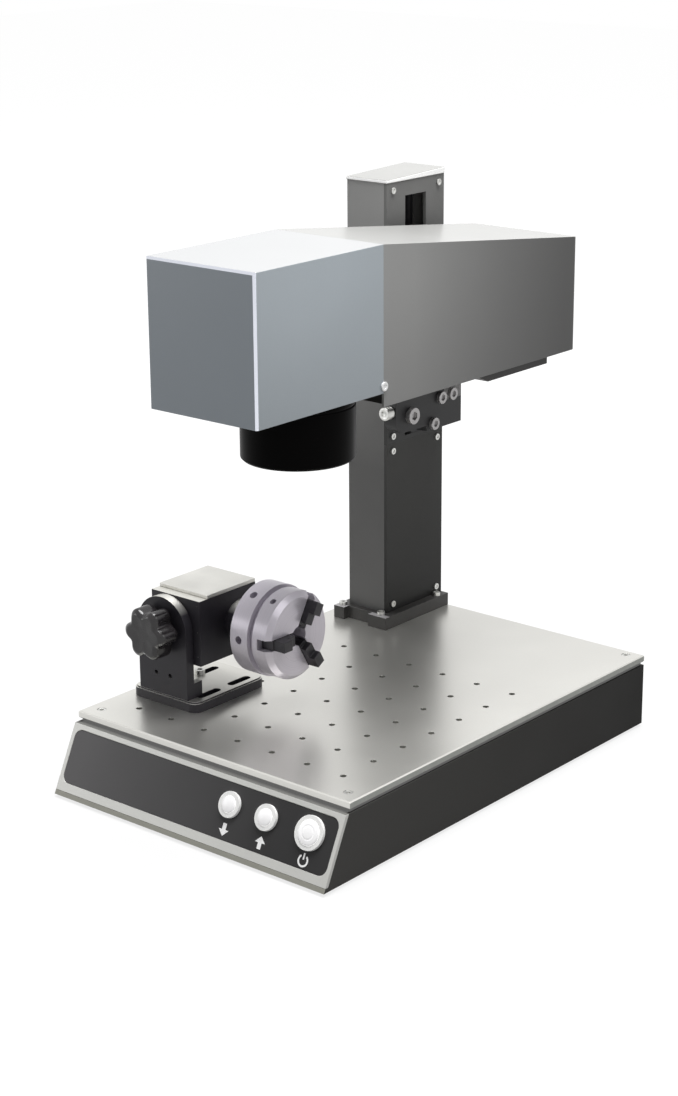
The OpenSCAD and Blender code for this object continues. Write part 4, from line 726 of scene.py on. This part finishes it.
RIDGES = 26  # of each set
TWIST = 2.4  # of the ridges' waves, in radians per mm along the head
KNURL_DEEP = 0.035  # of the radius
KNURL_LOW, KNURL_HIGH = 1.1, 7.2


def knurl(angle, height):
    """Two sets of helical ridges that cross, on the head only."""
    turn, climb = RIDGES / 2 * angle, TWIST * height
    crossing = np.sin(turn + climb) * np.sin(turn - climb)
    on_head = (height > KNURL_LOW) & (height < KNURL_HIGH)
    return 1 - KNURL_DEEP * np.abs(crossing) ** 0.8 * on_head


shank = [(0, -14.3), (2.8, -14.3), (2.8, 0.0), (4.9, 0.0), (5.4, 0.3)]
head_rows = np.column_stack([np.full(26, 5.6), np.linspace(1.0, 7.3, 26)])
head_end = [(5.3, 7.8), (4.6, 8.0), (2.2, 8.0), (2.0, 7.7), (0, 7.7)]
stand_in("thumb_screw_knurled",
         lathe("thumb_screw_knurled", np.vstack([shank, head_rows, head_end]),
               towards_front(THUMB_AT), 156, knurl), "thumb_screw")


# ---- The other nodes keep their CAD shape and take their finish

# The screw and rods inside the column take steel painted dark for its shade
SHADED_STEEL = ("lift_screw", "guide_rods")
for node, obj in frame["nodes"].items():
    for material_slot in obj.material_slots:
        material_slot.material = FINISH["steel_painted_shade" if node in SHADED_STEEL else SLOT[node]]


# ---- Stage: a pale floor that keeps a soft shadow, white all round

FLOOR_HALF = 6  # metres


def white_to_lenses(material):
    """1 for camera, glossy and transmission rays, 0 for the others."""
    rays = add(material, "LightPath").outputs
    seen = add(material, "Math", {"operation": "ADD"},
               {0: rays["Is Camera Ray"], 1: rays["Is Glossy Ray"]}).outputs[0]
    return add(material, "Math", {"operation": "ADD", "use_clamp": True},
               {0: seen, 1: rays["Is Transmission Ray"]}).outputs[0]


floor_paint = blank("matt_white_floor")
floor_place = add(floor_paint, "TexCoord").outputs["Object"]
pale = mixed(floor_paint, noise(floor_paint, floor_place, 20, 2), "6C6C6C", "707070")
matt = add(floor_paint, "BsdfDiffuse", (), {"Color": pale})
away = add(floor_paint, "VectorMath", {"operation": "LENGTH"}, {0: floor_place}).outputs["Value"]
lit = add(floor_paint, "Emission", {"Color": WHITE},
          {"Strength": ranged(floor_paint, away, 0.4, 1.4, (0.8, 0.97))})
glow = add(floor_paint, "MixShader", (), {0: white_to_lenses(floor_paint), 2: lit.outputs[0]})
both = add(floor_paint, "AddShader", (), {0: matt.outputs[0], 1: glow.outputs[0]})
add(floor_paint, "OutputMaterial", (), {"Surface": both.outputs[0]})

floor_mesh = bpy.data.meshes.new("floor")
floor_mesh.from_pydata([(x * FLOOR_HALF, y * FLOOR_HALF, FLOOR_Z)
                        for x, y in ((-1, -1), (1, -1), (1, 1), (-1, 1))], [], [(0, 1, 2, 3)])
floor_mesh.materials.append(floor_paint)
new_object("floor", floor_mesh)

world = bpy.data.worlds.new("white_room")
bpy.context.scene.world = world
world.use_nodes = True
world.node_tree.nodes.clear()
seen_white = add(world, "Background", {"Color": WHITE, "Strength": 1.0})
grey_fill = add(world, "Background", {"Color": WHITE, "Strength": 0.12})
sky = add(world, "MixShader", (), {0: white_to_lenses(world), 1: grey_fill.outputs[0],
                                   2: seen_white.outputs[0]})
add(world, "OutputWorld", (), {"Surface": sky.outputs[0]})


def lamp(name, place, aim, size, power):
    """A square soft box that looks at a point."""
    data = bpy.data.lights.new(name, "AREA")
    data.shape = "SQUARE"
    data.size = size
    data.energy = power
    obj = new_object(name, data)
    obj.location = place
    obj.rotation_euler = (Vector(aim) - Vector(place)).to_track_quat("-Z", "Y").to_euler()


lamp("softbox_above", place=(0.1, 0.18, 2.3), aim=(0.0, 0.0, 0.2), size=1.5, power=93)
lamp("softbox_near", place=(0.3, -0.1, 0.48), aim=(0.05, -0.1, 0.37), size=0.25, power=0.4)
lamp("softbox_left", place=(-1.3, -1.2, 0.42), aim=(0.0, -0.2, 0.1), size=0.55, power=2.6)


# ---- Camera, fitted to the photograph's straight edges

FOCAL_LENGTH, PHOTO_HEIGHT = 2252.8, 1096  # pixels
SENSOR_HEIGHT = 36
CAMERA_AT = (1.08324, -1.30594, 0.72365)
YAW, DOWN, ROLL = 40.1, 17.66, -0.397  # degrees

camera_data = bpy.data.cameras.new("camera")
camera_data.sensor_fit = "VERTICAL"
camera_data.sensor_height = SENSOR_HEIGHT
camera_data.lens = FOCAL_LENGTH / PHOTO_HEIGHT * SENSOR_HEIGHT
camera_data.shift_x = -0.00246
camera_data.shift_y = -0.00497
camera_data.clip_end = 50
camera = new_object("camera", camera_data)
camera.matrix_world = (Matrix.Translation(CAMERA_AT)
                       @ Matrix.Rotation(math.radians(YAW), 4, "Z")
                       @ Matrix.Rotation(math.radians(90 - DOWN), 4, "X")
                       @ Matrix.Rotation(math.radians(ROLL), 4, "Z"))
bpy.context.scene.camera = camera
bpy.context.scene.view_settings.view_transform = "Standard"
